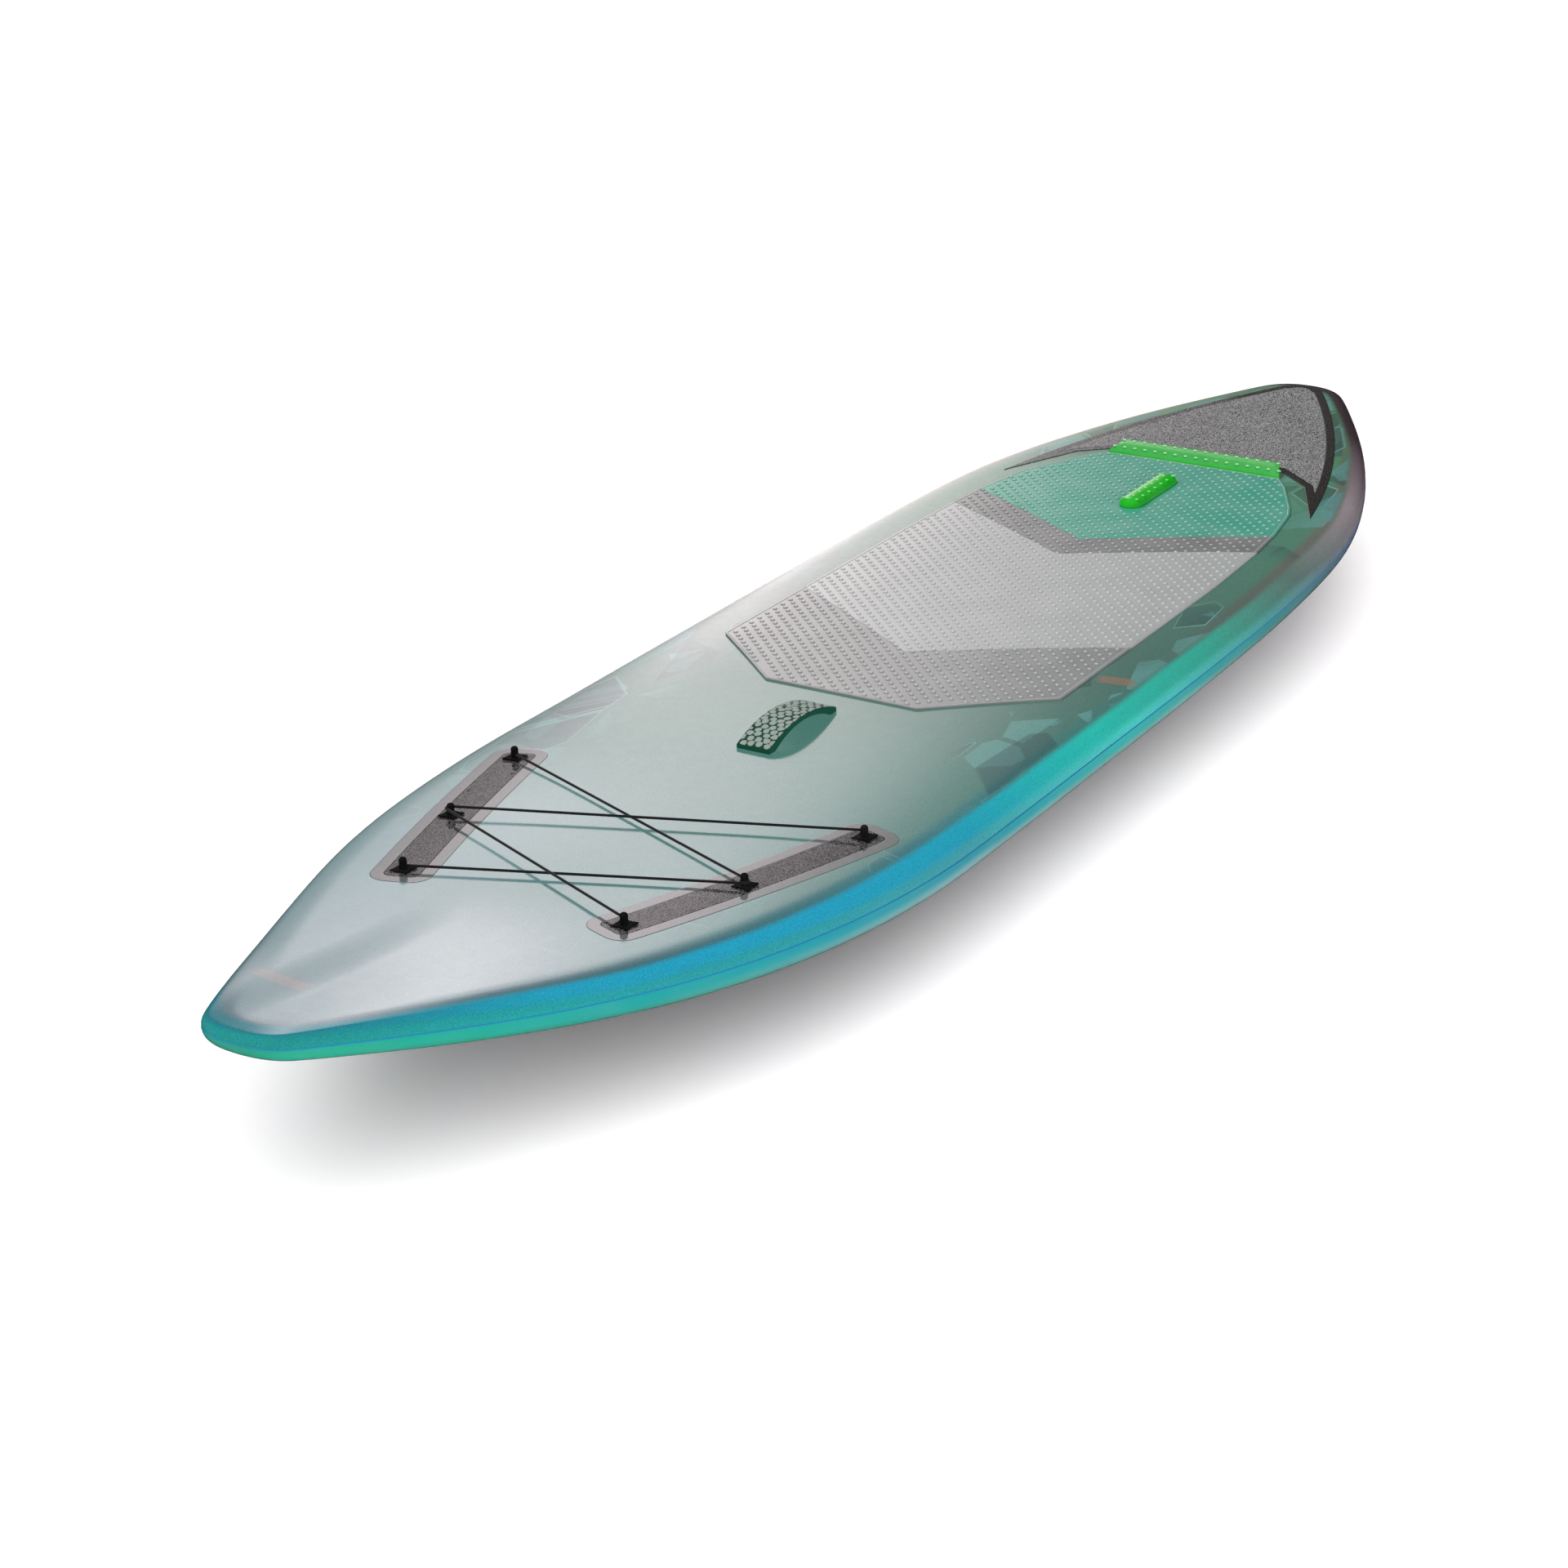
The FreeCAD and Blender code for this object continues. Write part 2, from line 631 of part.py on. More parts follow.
# ---------------------------------------------------------------- the assembly
def side_profile_block(height_at, low):
    """Everything below (or above) a line that follows the rocker, right across the board."""
    reach = HALF_LENGTH + 40
    count = 33
    points = [Vector(x, 0, height_at(x)) for x in
              (-reach + 2 * reach * i / (count - 1) for i in range(count))]
    line = Part.BSplineCurve()
    line.interpolate(points)
    corners = [points[-1], Vector(reach, 0, low), Vector(-reach, 0, low), points[0]]
    edges = [line.toShape()] + [Part.makeLine(a, b) for a, b in zip(corners, corners[1:])]
    face = Part.Face(Part.Wire(edges))
    face.translate(Vector(0, -600, 0))
    return face.extrude(Vector(0, 1200, 0))


def main():
    whole = board_body(0.0)
    level = min(bottom_z(x) for x in range(-400, 401, 50)) + FLAT_DEPTH
    whole = whole.cut(box((-FAR, -600, level - 40), (FAR, 600, level)))
    inner = board_body(SKIN)
    sheet_top = lifted(whole, STRIP_THICKNESS)
    pad_top = lifted(whole, PAD_THICKNESS)
    places = post_places()

    post_inserts = []
    post_studs = []
    for _, _, x, y in places:
        deck = deck_z(x, y)
        plug = upright(x, y, deck - INSERT_DEPTH, deck + 5, INSERT_RADIUS)
        stud = upright(x, y, deck - STUD_DEPTH, deck + STRIP_THICKNESS + STUD_RISE / 2, STUD_RADIUS)
        post_inserts.append(plug)
        post_studs.append(stud)
    handle_inserts = []
    handle_studs = []
    for x, y in handle_stud_places():
        deck = deck_z(x, y)
        handle_inserts.append(upright(x, y, deck - INSERT_DEPTH, deck + 5, INSERT_RADIUS))
        handle_studs.append(upright(x, y, deck - STUD_DEPTH, deck + HANDLE_THICKNESS, STUD_RADIUS))
    plugs = post_inserts + handle_inserts
    stud_ways = [upright(x, y, deck_z(x, y) - STUD_DEPTH, deck_z(x, y) + 20, STUD_RADIUS + BORE_GAP)
                 for x, y in [(p[2], p[3]) for p in places] + handle_stud_places()]

    # shells, seam and core
    skin = whole.cut(inner)
    below_seam = side_profile_block(seam_z, 0.0)
    box_way = placed_at_fin(fin_box_block())
    saved("deck_shell", skin.cut([below_seam] + plugs))
    saved("hull_shell", skin.common(below_seam).cut(box_way))
    band = side_profile_block(lambda x: seam_z(x) + SEAM_HEIGHT / 2, 0.0).cut(
        side_profile_block(lambda x: seam_z(x) - SEAM_HEIGHT / 2, 10.0))
    saved("rail_seam", board_body(-SEAM_PROUD).common(band).cut(whole))

    rear, front = HANDLE_X
    margin = HANDLE_BLOCK_MARGIN
    handle_block = box((rear - margin, -HANDLE_HALF_WIDTH - margin, DECK_MID_Z - 45),
                       (front + margin, HANDLE_HALF_WIDTH + margin, DECK_MID_Z + 40))
    box_core = placed_at_fin(fin_box_block((BOX_BLOCK[0] - BOX_SIZE[0]) / 2, (BOX_BLOCK[1] - BOX_SIZE[1]) / 2,
                                           -40.0, 200.0))
    stringer_slab = box((-FAR, -STRINGER / 2, -100), (FAR, STRINGER / 2, 900))
    blocks = [handle_block, box_core]
    saved("stringer", inner.common(stringer_slab).cut(blocks))
    core = inner.cut([stringer_slab] + blocks + plugs)
    for half in core.Solids:
        side = "port" if half.CenterOfMass.y > 0 else "starboard"
        saved(f"foam_core_{side}", half)
    saved("handle_core_block", inner.common(handle_block).cut(plugs))
    saved("fin_core_block", inner.common(box_core).cut(box_way))

    # bungee system
    inserts = Part.makeCompound(plugs).common(whole).cut(stud_ways)
    post_solids = [s for s in inserts.Solids if s.CenterOfMass.x > HANDLE_X[1] + margin]
    saved("post_inserts", Part.makeCompound(post_solids))
    saved("post_studs", Part.makeCompound(post_studs))
    strip = strip_core(STRIP_CORNER)
    edge = strip_core(STRIP_CORNER + BORDER_WIDTH).cut(strip)
    stud_holes = [upright(x, y, deck_z(x, y) - 5, deck_z(x, y) + 5, STUD_RADIUS + BORE_GAP)
                  for _, _, x, y in places]
    port_strip = on_deck(strip, whole, STRIP_THICKNESS).cut(stud_holes)
    port_border = on_deck(edge, whole, BORDER_THICKNESS)
    saved("grip_strip_port", port_strip)
    saved("grip_strip_starboard", mirrored(port_strip))
    saved("strip_border_port", port_border)
    saved("strip_border_starboard", mirrored(port_border))

    sides = {"port": 1, "starboard": -1}
    posts = {}
    holds = {}
    for name, side, x, y in places:
        first_cord = (side == "starboard") != (name == "middle")
        rise = CORD_RISES[0] if first_cord else CORD_RISES[1]
        posts[name, side], holds[name, side] = bungee_post(x, y, rise, sheet_top)
    for cord, side in (("a", "starboard"), ("b", "port")):
        other = "port" if side == "starboard" else "starboard"
        ends = [holds["front", side], holds["rear", side]]
        turn = holds["middle", other]
        path = cord_path(ends[0], turn, ends[1], WRAP_RADIUS)
        way = cord_solid(path, CORD_RADIUS + BORE_GAP)
        for key in (("front", side), ("middle", other), ("rear", side)):
            posts[key] = posts[key].cut(way)
        saved(f"bungee_cord_{cord}", cord_solid(path, CORD_RADIUS))
    for (name, side), post in posts.items():
        saved(f"bungee_post_{side}_{name}", max(post.Solids, key=lambda s: s.Volume))

    # handle
    strap = handle_solid(handle_profile(-8.0, HANDLE_FOOT, HANDLE_THICKNESS, 0.0), HANDLE_HALF_WIDTH)
    strap = strap.cut([whole] + stud_ways[-2:])
    rear_x, front_x = HANDLE_X
    grip_profile = handle_profile(HANDLE_THICKNESS, 0.0, HANDLE_THICKNESS + HANDLE_SKIN, HANDLE_THICKNESS)
    saved("handle_strap", strap)
    saved("handle_grip", handle_solid(grip_profile, HANDLE_HALF_WIDTH - 0.5))
    handle_solids = [s for s in inserts.Solids if s.CenterOfMass.x < HANDLE_X[1] + margin]
    saved("handle_inserts", Part.makeCompound(handle_solids))
    saved("handle_studs", Part.makeCompound(handle_studs).cut(strap).common(
        Part.makeCompound([upright(x, y, 0, deck_z(x, y) + HANDLE_THICKNESS - 1.0, 8)
                           for x, y in handle_stud_places()])))

    # deck pad, arch bar and kick pad
    pad = prism(pad_face(), DECK_MID_Z - 60, DECK_MID_Z + 120)
    pad = rounded_corners(pad, [(PAD_FRONT, PAD_FRONT_HALF), PAD_CORNER, (-937, 250)], 26.0)
    pad = pad.common(pad_top).cut(whole)
    ends = [(PAD_FRONT + 100, PAD_FRONT + 100)] + list(CHEVRONS) + [(KICK_X[0] - 100, KICK_X[0] - 100)]
    for name, front, rear in zip(("front", "middle", "stripe", "rear"), ends, ends[1:]):
        zone = prism(zone_face(front, rear), DECK_MID_Z - 70, DECK_MID_Z + 130)
        saved(f"deck_pad_{name}", pad.common(zone))
    saved("arch_bar", arch_bar(pad_top))
    saved("kick_pad", kick_pad(whole))

    # tail grip
    grip = tail_grip_face()
    speckle = grip.makeOffset2D(-GRIP_BORDER)
    saved("tail_grip", on_deck(speckle, whole, GRIP_THICKNESS))
    saved("tail_grip_border", on_deck(grip.cut(speckle), whole, GRIP_THICKNESS))

    # fin
    saved("fin_box", fin_box(whole))
    for name, shape in (("fin", fin_solid()), ("fin_screw", fin_screw()),
                        ("fin_pin", fin_pin()), ("fin_nut_plate", fin_nut_plate())):
        saved(name, placed_at_fin(shape))
    print("deck mid z", DECK_MID_Z, "fin tilt", math.degrees(FIN_TILT), "level", level)


main()
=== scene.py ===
import math
import random

import bmesh
import bpy
import numpy as np
from mathutils import Matrix, Vector, geometry
from mathutils.bvhtree import BVHTree
from mathutils.kdtree import KDTree


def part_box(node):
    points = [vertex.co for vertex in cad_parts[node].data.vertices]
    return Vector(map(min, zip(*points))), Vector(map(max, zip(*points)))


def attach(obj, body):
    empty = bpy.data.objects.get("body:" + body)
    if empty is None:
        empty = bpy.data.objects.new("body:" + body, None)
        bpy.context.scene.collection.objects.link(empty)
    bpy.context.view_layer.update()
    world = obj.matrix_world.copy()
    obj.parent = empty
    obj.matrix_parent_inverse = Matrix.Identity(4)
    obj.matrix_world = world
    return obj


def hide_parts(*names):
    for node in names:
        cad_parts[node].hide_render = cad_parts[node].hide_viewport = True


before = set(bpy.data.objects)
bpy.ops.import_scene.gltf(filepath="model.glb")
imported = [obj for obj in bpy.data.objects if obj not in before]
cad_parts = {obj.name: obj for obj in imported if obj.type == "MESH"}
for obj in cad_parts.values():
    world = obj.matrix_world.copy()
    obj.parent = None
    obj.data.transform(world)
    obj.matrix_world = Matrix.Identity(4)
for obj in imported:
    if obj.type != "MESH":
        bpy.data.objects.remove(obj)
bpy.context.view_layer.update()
MM = 0.001

# ---------------------------------------------------------------- the hull form, in millimetres
HALF_LENGTH = 1600.0
CROWN = 12.0
CROWN_HALF_WIDTH = 400.0
CROWN_POWER = 4
SKIN = 3.0
SEAM_RATIO = 0.53
DECK_ROLL = 35.0
BILGE_ROLL = 62.0
DECK_ROLL_POWER = 2.45
BILGE_ROLL_POWER = 2.15
FULL_THICKNESS = 110.0
LEAST_ROLL = 0.4
SPINE_HALF = 1520.0
OUTLINE_ROWS = 34
STATIONS = (-1600, -1280, -960, -640, -320, 0, 320, 640, 960, 1280, 1600)
HALF_WIDTHS = (62, 247, 362, 396, 401, 401, 402, 398, 341, 215, 55)
ROCKER_STATIONS = (-1600, -1200, -800, 0, 800, 1200, 1600)
DECK_LINE = (14, 3, -0.5, 0, 6.5, 26.5, 78.5)
THICKNESSES = (60, 74, 84, 105, 94, 70, 37)
NOSE_CAP = (35.0, 2.5)
TAIL_CAP = (47.0, 2.6)


def through(stations, values, x):
    """A smooth line through the values: cubic pieces with averaged slopes."""
    x = min(max(x, stations[0]), stations[-1])
    last = len(stations) - 1
    steps = [(values[i + 1] - values[i]) / (stations[i + 1] - stations[i]) for i in range(last)]

    def slope(i):
        if i == 0:
            return 1.5 * steps[0] - 0.5 * slope(1)
        if i == last:
            return 1.5 * steps[-1] - 0.5 * slope(last - 1)
        before = stations[i] - stations[i - 1]
        after = stations[i + 1] - stations[i]
        return (steps[i - 1] * after + steps[i] * before) / (before + after)

    i = 0
    while x > stations[i + 1]:
        i += 1
    span = stations[i + 1] - stations[i]
    t = (x - stations[i]) / span
    rise = t * t * (3 - 2 * t)
    lead = t * (1 - t) * (1 - t) * slope(i) * span
    tail = t * t * (t - 1) * slope(i + 1) * span
    return values[i] + (values[i + 1] - values[i]) * rise + lead + tail


def half_width(x):
    return through(STATIONS, HALF_WIDTHS, x)


def thickness(x):
    return through(ROCKER_STATIONS, THICKNESSES, x)


def deck_line(x):
    return through(ROCKER_STATIONS, DECK_LINE, x)


# the mid deck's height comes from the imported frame: the hull's lowest part is planed flat at LEVEL
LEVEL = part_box("hull_shell")[0].z / MM
FLAT_DEPTH = 1.0
DECK_MID_Z = LEVEL - FLAT_DEPTH - min(deck_line(x) - thickness(x) for x in range(-400, 401, 50))


def deck_z(x, y):
    return DECK_MID_Z + deck_line(x) - CROWN * abs(y / CROWN_HALF_WIDTH) ** CROWN_POWER


def bottom_z(x):
    return DECK_MID_Z + deck_line(x) - thickness(x)


def seam_z(x):
    return bottom_z(x) + SEAM_RATIO * thickness(x)


def power_of(value, power):
    return max(value, 0.0) ** (2.0 / power)


def plan_outline():
    """The port side of the outline from the tail's tip to the nose's tip."""
    tail_start = -HALF_LENGTH + TAIL_CAP[0]
    nose_start = HALF_LENGTH - NOSE_CAP[0]

    def cap(start, sign, length, power):
        """The rounded end, from its tip inwards."""
        points = []
        for a in (math.radians(degrees) for degrees in (90, 81, 70, 57, 42, 22)):
            x = start + sign * length * power_of(math.sin(a), power)
            points.append((x, half_width(x) * power_of(math.cos(a), power)))
        return [(sign * HALF_LENGTH, 0.0)] + points[1:]

    xs = [tail_start + (nose_start - tail_start) * i / OUTLINE_ROWS for i in range(OUTLINE_ROWS + 1)]
    side = [(x, half_width(x)) for x in xs]
    return cap(tail_start, -1, *TAIL_CAP) + side + cap(nose_start, 1, *NOSE_CAP)[::-1]


def rib(edge, centre, inset):
    """Control points of one rib, from the deck's centreline over the rail to the bottom's."""
    edge = np.array(edge, float)
    middle = np.array((centre, 0.0))
    inward = (middle - edge) / np.linalg.norm(middle - edge)
    edge = edge + inward * inset
    reach = np.linalg.norm(middle - edge)
    share = min(max(thickness(edge[0]) / FULL_THICKNESS, LEAST_ROLL), 1.2)
    deck_roll = DECK_ROLL * share - 0.5 * inset
    bilge_roll = BILGE_ROLL * share - 0.5 * inset
    points = []

    def add(offset, height):
        x, y = edge + inward * offset
        points.append((x, y, height(x, y)))

    def deck_height(x, y):
        return deck_z(x, y) - inset

    def bottom_height(x, y):
        return bottom_z(x) + inset

    for part in (1.0, 0.88):
        add(deck_roll + (reach - deck_roll) * part, lambda x, y: deck_z(x, 0) - inset)
    for part in (0.65, 0.4, 0.18):
        add(deck_roll + (reach - deck_roll) * part, deck_height)
    for degrees in (90, 75, 60, 45, 30, 15, 0):
        a = math.radians(degrees)
        rise = power_of(math.sin(a), DECK_ROLL_POWER)
        add(deck_roll * (1 - power_of(math.cos(a), DECK_ROLL_POWER)),
            lambda x, y, r=rise: seam_z(x) + (deck_height(x, y) - seam_z(x)) * r)
    for degrees in (15, 30, 45, 60, 75, 90):
        a = math.radians(degrees)
        drop = power_of(math.sin(a), BILGE_ROLL_POWER)
        add(bilge_roll * (1 - power_of(math.cos(a), BILGE_ROLL_POWER)),
            lambda x, y, d=drop: seam_z(x) - (seam_z(x) - bottom_height(x, y)) * d)
    for part in (0.25, 0.6, 1.0):
        add(bilge_roll + (reach - bilge_roll) * part, bottom_height)
    return points


def spline_basis(count, params, degree=3):
    """Weights of each control point at each parameter, for a spline that meets its end points."""
    inner = count - degree - 1
    knots = [0.0] * (degree + 1) + [float(i + 1) for i in range(inner)] + [float(inner + 1)] * (degree + 1)
    t = np.clip(np.asarray(params, float) * (inner + 1), 0, inner + 1 - 1e-9)
    basis = [((t >= knots[i]) & (t < knots[i + 1])).astype(float) for i in range(len(knots) - 1)]
    for d in range(1, degree + 1):
        grown = []
        for i in range(len(basis) - 1):
            value = np.zeros_like(t)
            if knots[i + d] > knots[i]:
                value += (t - knots[i]) / (knots[i + d] - knots[i]) * basis[i]
            if knots[i + d + 1] > knots[i + 1]:
                value += (knots[i + d + 1] - t) / (knots[i + d + 1] - knots[i + 1]) * basis[i + 1]
            grown.append(value)
        basis = grown
    return np.stack(basis, axis=1)


def run_along(points):
    """The distance from the first point to each one."""
    run = [0.0]
    for a, b in zip(points, points[1:]):
        run.append(run[-1] + math.hypot(b[0] - a[0], b[1] - a[1]))
    return run


def control_net(inset):
    outline = plan_outline()
    run = run_along(outline)
    spine = SPINE_HALF - inset
    return np.array([rib(p, spine * (2 * s / run[-1] - 1), inset) for p, s in zip(outline, run)])


# ---------------------------------------------------------------- meshes
def made(name, verts, faces, smooth=True):
    """A new mesh object, given in millimetres, that rides on the board."""
    mesh = bpy.data.meshes.new(name)
    mesh.from_pydata([[c * MM for c in v] for v in verts], [], [list(f) for f in faces])
    mesh.update()
    obj = bpy.data.objects.new(name, mesh)
    bpy.context.scene.collection.objects.link(obj)
    mesh.polygons.foreach_set("use_smooth", [smooth] * len(mesh.polygons))
    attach(obj, "board")
    return obj


def cleaned(obj, merge=0.0, gaps=False):
    """Joins the points that coincide, closes triangular gaps and turns every face outwards."""
    bm = bmesh.new()
    bm.from_mesh(obj.data)
    if merge:
        bmesh.ops.remove_doubles(bm, verts=bm.verts, dist=merge)
        bmesh.ops.dissolve_degenerate(bm, edges=bm.edges, dist=merge)
    if gaps:
        bmesh.ops.holes_fill(bm, edges=[e for e in bm.edges if len(e.link_faces) == 1], sides=3)
    bmesh.ops.recalc_face_normals(bm, faces=bm.faces)
    bm.to_mesh(obj.data)
    bm.free()
    return obj


def stands_for(piece, node):
    if node:
        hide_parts(node)
    return piece


def webbed(rows, count, start=0, round_=True, wrapped=False, capped=False):
    """Quads between rows of points that follow one another, each an open row or a round ring."""
    faces = []
    for r in range(rows if wrapped else rows - 1):
        a, b = start + r * count, start + (r + 1) % rows * count
        for j in range(count if round_ else count - 1):
            n = (j + 1) % count
            faces.append((a + j, a + n, b + n, b + j))
    if capped:
        last = start + (rows - 1) * count
        faces += [tuple(range(start + count - 1, start - 1, -1)), tuple(range(last, last + count))]
    return faces


def peaked(start, rings, count, top):
    """Faces of rings of points, one above the other, from a flat foot up to one point on top."""
    last = start + (rings - 1) * count
    sides = webbed(rings, count, start) + [(last + k, last + (k + 1) % count, top) for k in range(count)]
    return sides + [tuple(start + k for k in reversed(range(count)))]


U_COUNT = 441
DECK_COLUMNS, HULL_COLUMNS, INNER_COLUMNS = 97, 81, 25
ROWS = np.linspace(0, 1, U_COUNT)


class Side:
    """The port side of the hull form at one inset, and where the seam cuts each row."""

    def __init__(self, inset):
        net = control_net(inset)
        self.poles = np.einsum("ui,ijk->ujk", spline_basis(net.shape[0], ROWS), net)
        fine = np.linspace(0, 1, 601)
        points = self.at(np.tile(fine, (U_COUNT, 1)))
        gap = points[:, :, 2] - np.vectorize(seam_z)(points[:, :, 0])
        self.seam_v = np.zeros(U_COUNT)
        for i in range(U_COUNT):
            j = int(np.argmax(gap[i] < 0))
            share = gap[i, j - 1] / (gap[i, j - 1] - gap[i, j])
            self.seam_v[i] = fine[j - 1] + share * (fine[j] - fine[j - 1])

    def at(self, params):
        """Points at each row's own list of parameters."""
        weights = spline_basis(self.poles.shape[1], params.ravel())
        weights = weights.reshape(params.shape[0], params.shape[1], -1)
        return np.einsum("uvj,ujk->uvk", weights, self.poles)

    def upper(self, count):
        return self.at(self.seam_v[:, None] * np.linspace(0, 1, count)[None, :])

    def lower(self, count):
        share = np.linspace(0, 1, count)[None, :]
        return self.at(self.seam_v[:, None] + (1 - self.seam_v[:, None]) * share)


outer_side, inner_side = Side(0.0), Side(SKIN)


def girth(points, seam_column):
    """Distance along each row from the seam, positive above it."""
    steps = np.linalg.norm(np.diff(points, axis=1), axis=2)
    run = np.concatenate([np.zeros((len(points), 1)), np.cumsum(steps, axis=1)], axis=1)
    return run[:, seam_column][:, None] - run


def skin(name, outside, inside, seam_column):
    """A closed laminate skin: an outer and an inner sheet, joined along their column at the seam."""
    verts, faces = [], []
    for sign in (1, -1):
        seams = []
        for sheet in (outside, inside):
            rows, columns = sheet.shape[:2]
            first = len(verts) + seam_column % columns
            seams.append([first + i * columns for i in range(rows)])
            faces += webbed(rows, columns, len(verts), round_=False)
            verts += (sheet.reshape(-1, 3) * (1, sign, 1)).tolist()
        a, b = seams
        faces += [(a[i], a[i + 1], b[i + 1], b[i]) for i in range(U_COUNT - 1)]
    return cleaned(made(name, verts, faces), 2e-6)


def stored(obj, name, values):
    """Keeps one value per point, for the paint."""
    obj.data.attributes.new(name, "FLOAT", "POINT").data.foreach_set("value", values)
    return obj


def with_band(obj, outside, distances):
    """Stores each point's distance from the seam, in metres."""
    flat = outside.reshape(-1, 3) * MM
    tree = KDTree(len(flat))
    for i, p in enumerate(flat):
        tree.insert(p, i)
    tree.balance()
    values = distances.ravel() * MM
    stored(obj, "band", [values[tree.find((v.co.x, abs(v.co.y), v.co.z))[1]] for v in obj.data.vertices])


EASED_BY = (1.0, 2.6)               # how far down everywhere, and how much more at the nose
EASE_GROWS = (200.0, 1000.0)        # places along X
EASE_FADES = (1180.0, 1400.0)
EASE_ON_DECK = (74.0, 17.0)         # distances from the seam
EASE_ON_RAIL = (0.0, 15.0)


def eased_edge(points):
    """Rounds the deck a little more where it turns down into the rail, most of all towards the nose."""
    distance = girth(points, -1)

    def step(low, high, values):
        t = np.clip((values - low) / (high - low), 0, 1)
        return t * t * (3 - 2 * t)

    x = points[:, :1, 0]
    least, more = EASED_BY
    depth = (least + more * step(*EASE_GROWS, x)) * (1 - 0.9 * step(*EASE_FADES, x))
    points[:, :, 2] -= depth * step(*EASE_ON_DECK, distance) * step(*EASE_ON_RAIL, distance)
    return points


deck_points = eased_edge(outer_side.upper(DECK_COLUMNS))
deck = skin("deck_skin", deck_points, inner_side.upper(INNER_COLUMNS), -1)
with_band(deck, deck_points, girth(deck_points, -1))
stands_for(deck, "deck_shell")

hull_points = outer_side.lower(HULL_COLUMNS)
hull_points[:, :, 2] = np.maximum(hull_points[:, :, 2], LEVEL)
hull = skin("hull_skin", hull_points, inner_side.lower(INNER_COLUMNS), 0)

# the opening for the fin box is a block in the fin slot's own frame
FIN_X = -1270.0
FIN_TILT = -math.radians(3.139516)
BOX_SIZE = (292.0, 27.0, 29.0)
BELOW_HULL = -40


def at_fin(u, v, w):
    """A point of the fin slot's own frame, in millimetres of the object's frame."""
    c, s = math.cos(FIN_TILT), math.sin(FIN_TILT)
    return (FIN_X + u * c - w * s, v, bottom_z(FIN_X) + u * s + w * c)


def cut_for_fin_box():
    u, v = BOX_SIZE[0] / 2, BOX_SIZE[1] / 2
    corners = ((-u, -v), (u, -v), (u, v), (-u, v))
    block = [at_fin(*corner, w) for w in (BELOW_HULL, BOX_SIZE[2]) for corner in corners]
    cutter = made("box_way", block, webbed(2, 4, capped=True), smooth=False)
    cut = hull.modifiers.new("cut", "BOOLEAN")
    cut.operation = "DIFFERENCE"
    cut.solver = "EXACT"
    cut.object = cutter
    mesh = bpy.data.meshes.new_from_object(hull.evaluated_get(bpy.context.evaluated_depsgraph_get()))
    hull.modifiers.clear()
    old, hull.data = hull.data, mesh
    bpy.data.meshes.remove(old)
    bpy.data.objects.remove(cutter)


cut_for_fin_box()
with_band(hull, hull_points, girth(hull_points, 0))
stands_for(hull, "hull_shell")

bpy.context.view_layer.update()
deck_tree = BVHTree.FromObject(deck, bpy.context.evaluated_depsgraph_get())


def deck_at(x, y):
    """Height of the deck's surface in millimetres."""
    hit = deck_tree.ray_cast(Vector((x * MM, y * MM, 1.0)), Vector((0, 0, -1)))[0]
    return hit.z / MM if hit else deck_z(x, y)


# ---------------------------------------------------------------- the seam line
# heights over the seam and distances out of it
SEAM_SECTION = ((-1.3, -0.6), (-1.2, 0.05), (-0.6, 0.28), (0.6, 0.28), (1.2, 0.05), (1.3, -0.6))


def seam_bead():
    """A flat line all round the seam."""
    port = outer_side.upper(2)[:, 1, :]
    ring = [tuple(p) for p in port] + [(p[0], -p[1], p[2]) for p in port[-2:0:-1]]
    verts = []
    for i, p in enumerate(ring):
        q, r = ring[i - 1], ring[(i + 1) % len(ring)]
        out = Vector((r[1] - q[1], q[0] - r[0], 0)).normalized()
        if out.dot(Vector((p[0] * 0.1, p[1], 0))) < 0:
            out = -out
        verts += [(p[0] + out.x * o, p[1] + out.y * o, p[2] + h) for h, o in SEAM_SECTION]
    bead = cleaned(made("seam_line", verts, webbed(len(ring), len(SEAM_SECTION), wrapped=True)))
    return stands_for(bead, "rail_seam")


seam = seam_bead()


# ---------------------------------------------------------------- sheets on the deck
def between(a, b, t):
    return (a[0] + (b[0] - a[0]) * t, a[1] + (b[1] - a[1]) * t)


def rounded(loop, radii, steps=6):
    """The closed loop with its corners rounded: radii holds one radius per corner, 0 for none."""
    points = []
    for i, (p, r) in enumerate(zip(loop, radii)):
        p, a, b = Vector(p), Vector(loop[i - 1]), Vector(loop[(i + 1) % len(loop)])
        if not r:
            points.append(tuple(p))
            continue
        u, v = (a - p), (b - p)
        reach = min(r / math.tan(u.angle(v) / 2), 0.48 * u.length, 0.48 * v.length)
        start, end = p + u.normalized() * reach, p + v.normalized() * reach
        for k in range(steps + 1):
            t = k / steps
            points.append(tuple(start * (1 - t) ** 2 + p * 2 * t * (1 - t) + end * t ** 2))
    return points


def divided(loop, step):
    """The loop with long sides cut into shorter ones."""
    points = []
    for a, b in zip(loop, loop[1:] + loop[:1]):
        n = max(1, int(math.hypot(b[0] - a[0], b[1] - a[1]) / step))
        points += [between(a, b, k / n) for k in range(n)]
    return points


def upright(loop):
    """The loop, turned counter-clockwise if it isn't."""
    area = sum(a[0] * b[1] - b[0] * a[1] for a, b in zip(loop, loop[1:] + loop[:1]))
    return loop if area > 0 else loop[::-1]


def mirrored_loop(port):
    """A port side that starts and ends on the middle line, and its mirror image."""
    return upright(port + [(x, -y) for x, y in reversed(port[1:-1])])


